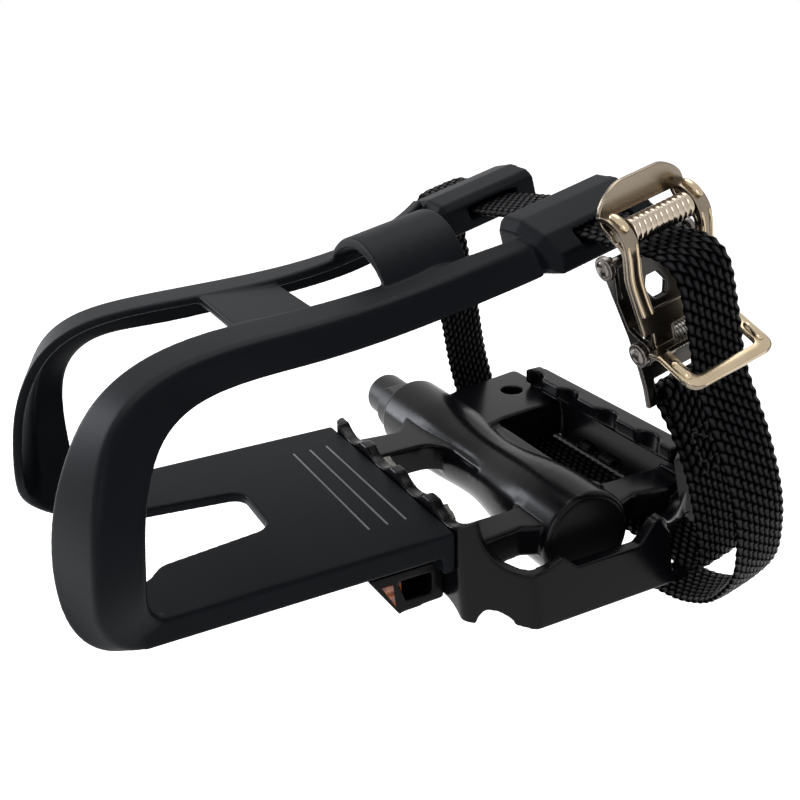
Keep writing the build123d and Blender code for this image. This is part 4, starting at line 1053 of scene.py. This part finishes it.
    def build(self, frame: dict) -> None:
        """Eases the pressings, adds the arms, keeper, rivets and roller, and dresses them.

        Args:
            frame: the loaded model.
        """
        lever = EasedForm("buckle_lever", *self.lever_ease).build(frame)
        self.crescent(lever)
        settled(lever, NICKEL, Body.LEVER, Slot.NICKEL, "buckle_lever")
        plate = EasedForm("buckle_frame", *self.frame_ease).build(frame)
        settled(plate, GUNMETAL, Body.PEDAL, Slot.GUNMETAL, "buckle_frame")
        for node in ("lever_pin", "anvil_pin"):
            settled(EasedForm(node, *self.pin_ease).build(frame), RIVET, Body.PEDAL, Slot.GUNMETAL, node)
        self.arms()
        self.keeper()
        self.rivets()
        self.ribbed_roller()


@dataclass
class Spindle:
    """Forged spindle with its crank end."""

    form: EasedForm = field(default_factory=lambda: EasedForm("spindle", 0.26, 8))

    def build(self, frame: dict) -> None:
        """Eases the forging and blackens it."""
        settled(self.form.build(frame), BLACK_OXIDE, Body.SPINDLE, Slot.DARK_STEEL, self.form.node)


@dataclass
class LensEnds:
    """Amber that shows at the outboard end of the front reflector's housing.

    Outlines are given ahead of the housing's front edge and above its lowest.
    """

    housing: str = "front_reflector_housing"
    proud: float = 0.12
    depth: float = 0.5
    recess: float = 1.2
    ease: float = 0.15
    corner: tuple = ((-7.2, 2.5), (-3.2, 9.4), (-6.6, 9.4))
    streak: tuple = ((-9.6, 4.2), (-9.0, 4.2), (-8.3, 9.0), (-9.3, 9.0))

    def build(self) -> None:
        """Lays the corner of the lens on the housing's end, and a streak of it in the window."""
        low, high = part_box(self.housing)
        windows = (("lens_corner", self.corner, 0.0), ("lens_streak", self.streak, self.recess))
        for name, outline, back in windows:
            y = high[1] + (self.proud - back - self.depth / 2) * MM
            points = [(high[0] + x * MM, y, low[2] + z * MM) for x, z in outline]
            piece = from_points(name, points, [], [tuple(range(len(points)))])
            shaped(piece, "SOLIDIFY", thickness=self.depth * MM, offset=0.0)
            shaped(piece, "BEVEL", width=self.ease * MM, segments=2)
            cleaned(piece)
            settled(piece, AMBER, Body.PEDAL, Slot.AMBER)


@dataclass
class SmallParts:
    """Caps, reflectors and fasteners that keep their CAD shape or are only eased."""

    eased: tuple = (
        ("dust_cap", 0.3, 4, ABS, Slot.HOUSING), ("front_reflector_housing", 0.45, 4, ABS, Slot.HOUSING),
        ("rear_reflector_housing", 0.45, 4, ABS, Slot.HOUSING), ("clip_bolts", 0.2, 4, ZINC, Slot.STEEL))
    dressed: tuple = (
        ("front_reflector_lens", AMBER), ("rear_reflector_lens", AMBER), ("clip_washers", ZINC),
        ("clip_nuts", ZINC), ("inboard_balls", BEARING), ("outboard_balls", BEARING),
        ("inboard_cup", BEARING), ("outboard_cup", BEARING), ("outboard_cone", BEARING),
        ("lock_washer", ZINC), ("lock_nut", ZINC), ("inboard_seal", RUBBER), ("lever_bush", ZINC),
        ("lever_spring", ZINC), ("roller_pin", NICKEL))

    def build(self, frame: dict) -> None:
        """Eases the moulded parts and dresses the CAD nodes that stay.

        Args:
            frame: the loaded model.
        """
        for node, voxel, passes, finish, slot in self.eased:
            settled(EasedForm(node, voxel, passes).build(frame), finish, Body.PEDAL, slot, node)
        for node, finish in self.dressed:
            held = frame["nodes"][node].data.materials
            held.clear()
            held.append(finish.material())
            LOG.info("%s: %s", node, finish.name)


@dataclass(frozen=True)
class Lamp:
    """A soft lamp: where it hangs, what it faces and its sides in metres, its power in watts and its tint."""

    name: str
    place: tuple[float, float, float]
    aim: tuple[float, float, float]
    size: tuple[float, float]
    power: float
    colour: str

    def hang(self) -> None:
        """Hangs the lamp and turns it to what it faces."""
        data = bpy.data.lights.new(self.name, "AREA")
        data.shape = "RECTANGLE"
        data.size = self.size[0]
        data.size_y = self.size[1]
        data.energy = self.power
        data.color = linear(self.colour)[:3]
        lamp = bpy.data.objects.new(self.name, data)
        bpy.context.scene.collection.objects.link(lamp)
        lamp.location = self.place
        lamp.rotation_euler = (Vector(self.aim) - Vector(self.place)).to_track_quat("-Z", "Y").to_euler()


@dataclass
class Studio:
    """Pale floor, soft lamps and the camera at the picture's viewpoint."""

    azimuth: float = 153.462
    elevation: float = 22.661
    roll: float = -2.073
    place: tuple[float, float, float] = (144.594, 288.685, 136.407)
    focal: float = 1019.347
    picture: float = 800.0
    sensor: float = 36.0
    nearest: float = 0.01
    floor_side: float = 8.0
    floor_tones: tuple[float, float] = (0.72, 0.76)
    floor_grain: float = 400.0
    floor_glow: float = 0.9
    world_light: float = 0.45
    world_white: float = 1.0
    lamps: tuple = (
        Lamp("overhead", (0.05, -0.25, 0.85), (0.03, 0.06, 0.0), (0.8, 0.6), 4.4, "#f8f5f1"),
        Lamp("side", (0.9, 0.6, 0.35), (0.03, 0.06, 0.03), (0.25, 0.6), 2.0, "#ffffff"),
        Lamp("strip", (0.51, -0.69, 0.22), (0.0, 0.06, 0.0), (0.15, 0.5), 3.0, "#f2f6ff"))

    def camera(self) -> None:
        """Sets the camera by its bearing, height and roll."""
        data = bpy.data.cameras.new("viewpoint")
        data.sensor_fit = "HORIZONTAL"
        data.sensor_width = self.sensor
        data.lens = self.focal / self.picture * self.sensor
        data.clip_start = self.nearest
        turn = math.radians(self.azimuth)
        rise = math.radians(self.elevation)
        back = Vector((math.sin(turn) * math.cos(rise), -math.cos(turn) * math.cos(rise), math.sin(rise)))
        level = Vector((0, 0, 1)).cross(back).normalized()
        upright = back.cross(level)
        roll = math.radians(self.roll)
        right = level * math.cos(roll) + upright * math.sin(roll)
        up = upright * math.cos(roll) - level * math.sin(roll)
        grip = Matrix((right, up, back)).transposed().to_4x4()
        grip.translation = Vector(self.place) * MM
        camera = bpy.data.objects.new("viewpoint", data)
        bpy.context.scene.collection.objects.link(camera)
        camera.matrix_world = grip
        bpy.context.scene.camera = camera

    def shown(self, tree: bpy.types.NodeTree) -> bpy.types.NodeSocket:
        """Tells the rays that show the background, straight on or in gloss or glass.

        Args:
            tree: the node tree of the floor or the world.

        Returns:
            A socket that is 1 for such rays and 0 for the rest.
        """
        path = add_node(tree, "ShaderNodeLightPath").outputs
        gloss = add_node(tree, "ShaderNodeMath", {"operation": "MAXIMUM"}, {
            0: path["Is Glossy Ray"], 1: path["Is Transmission Ray"]})
        return add_node(tree, "ShaderNodeMath", {"operation": "MAXIMUM"}, {
            0: path["Is Camera Ray"], 1: gloss.outputs[0]}).outputs[0]

    def world(self) -> None:
        """Surrounds the object with even pale light on a white background."""
        world = bpy.data.worlds.new("studio")
        bpy.context.scene.world = world
        world.use_nodes = True
        tree = world.node_tree
        tree.nodes.clear()
        strength = add_node(tree, "ShaderNodeMapRange", {}, {
            0: self.shown(tree), 3: self.world_light, 4: self.world_white})
        light = add_node(tree, "ShaderNodeBackground", {}, {
            "Color": (1, 1, 1, 1), "Strength": strength.outputs[0]})
        add_node(tree, "ShaderNodeOutputWorld", {}, {"Surface": light.outputs[0]})

    def floor(self, height: float) -> None:
        """Lays the pale floor.

        Args:
            height: the floor's height in metres.
        """
        bpy.ops.object.select_all(action="DESELECT")
        bpy.ops.mesh.primitive_plane_add(size=self.floor_side, location=(0, 0, height))
        bpy.ops.object.transform_apply(location=True)
        floor = bpy.context.object
        floor.name = "floor"
        paper = bpy.data.materials.new("matt_paper")
        paper.use_nodes = True
        tree = paper.node_tree
        tree.nodes.clear()
        grain = add_node(tree, "ShaderNodeTexNoise", {}, {"Scale": self.floor_grain})
        dark, pale = self.floor_tones
        tone = add_node(tree, "ShaderNodeMapRange", {}, {0: grain.outputs[0], 3: dark, 4: pale})
        matt = add_node(tree, "ShaderNodeBsdfDiffuse", {}, {"Color": tone.outputs[0]})
        glow = add_node(tree, "ShaderNodeMath", {"operation": "MULTIPLY"}, {
            0: self.shown(tree), 1: self.floor_glow})
        white = add_node(tree, "ShaderNodeEmission", {}, {"Strength": glow.outputs[0]})
        both = add_node(tree, "ShaderNodeAddShader", {}, {0: matt.outputs[0], 1: white.outputs[0]})
        add_node(tree, "ShaderNodeOutputMaterial", {}, {"Surface": both.outputs[0]})
        floor.data.materials.append(paper)
        floor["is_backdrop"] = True

    def build(self, height: float) -> None:
        """Sets camera, light and floor.

        Args:
            height: the floor's height in metres, below the pedal's whole swing on its spindle.
        """
        bpy.context.scene.view_settings.view_transform = "Standard"
        self.camera()
        self.world()
        self.floor(height)
        for lamp in self.lamps:
            lamp.hang()


def main() -> None:
    """Builds the dressed pedal in order."""
    logging.basicConfig(level=logging.INFO, format="%(message)s")
    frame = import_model()
    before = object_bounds()
    plane = StrapPlane()
    swing = math.hypot(max(abs(corner[0]) for corner in before), max(abs(corner[2]) for corner in before))
    Studio().build(-swing)
    CastBody().build(frame)
    ToeClip().build(frame)
    strap = Strap(plane)
    strap.build()
    Stitching(strap).build()
    Buckle(plane).build(frame)
    Spindle().build(frame)
    SmallParts().build(frame)
    LensEnds().build()


if __name__ == "__main__":
    main()
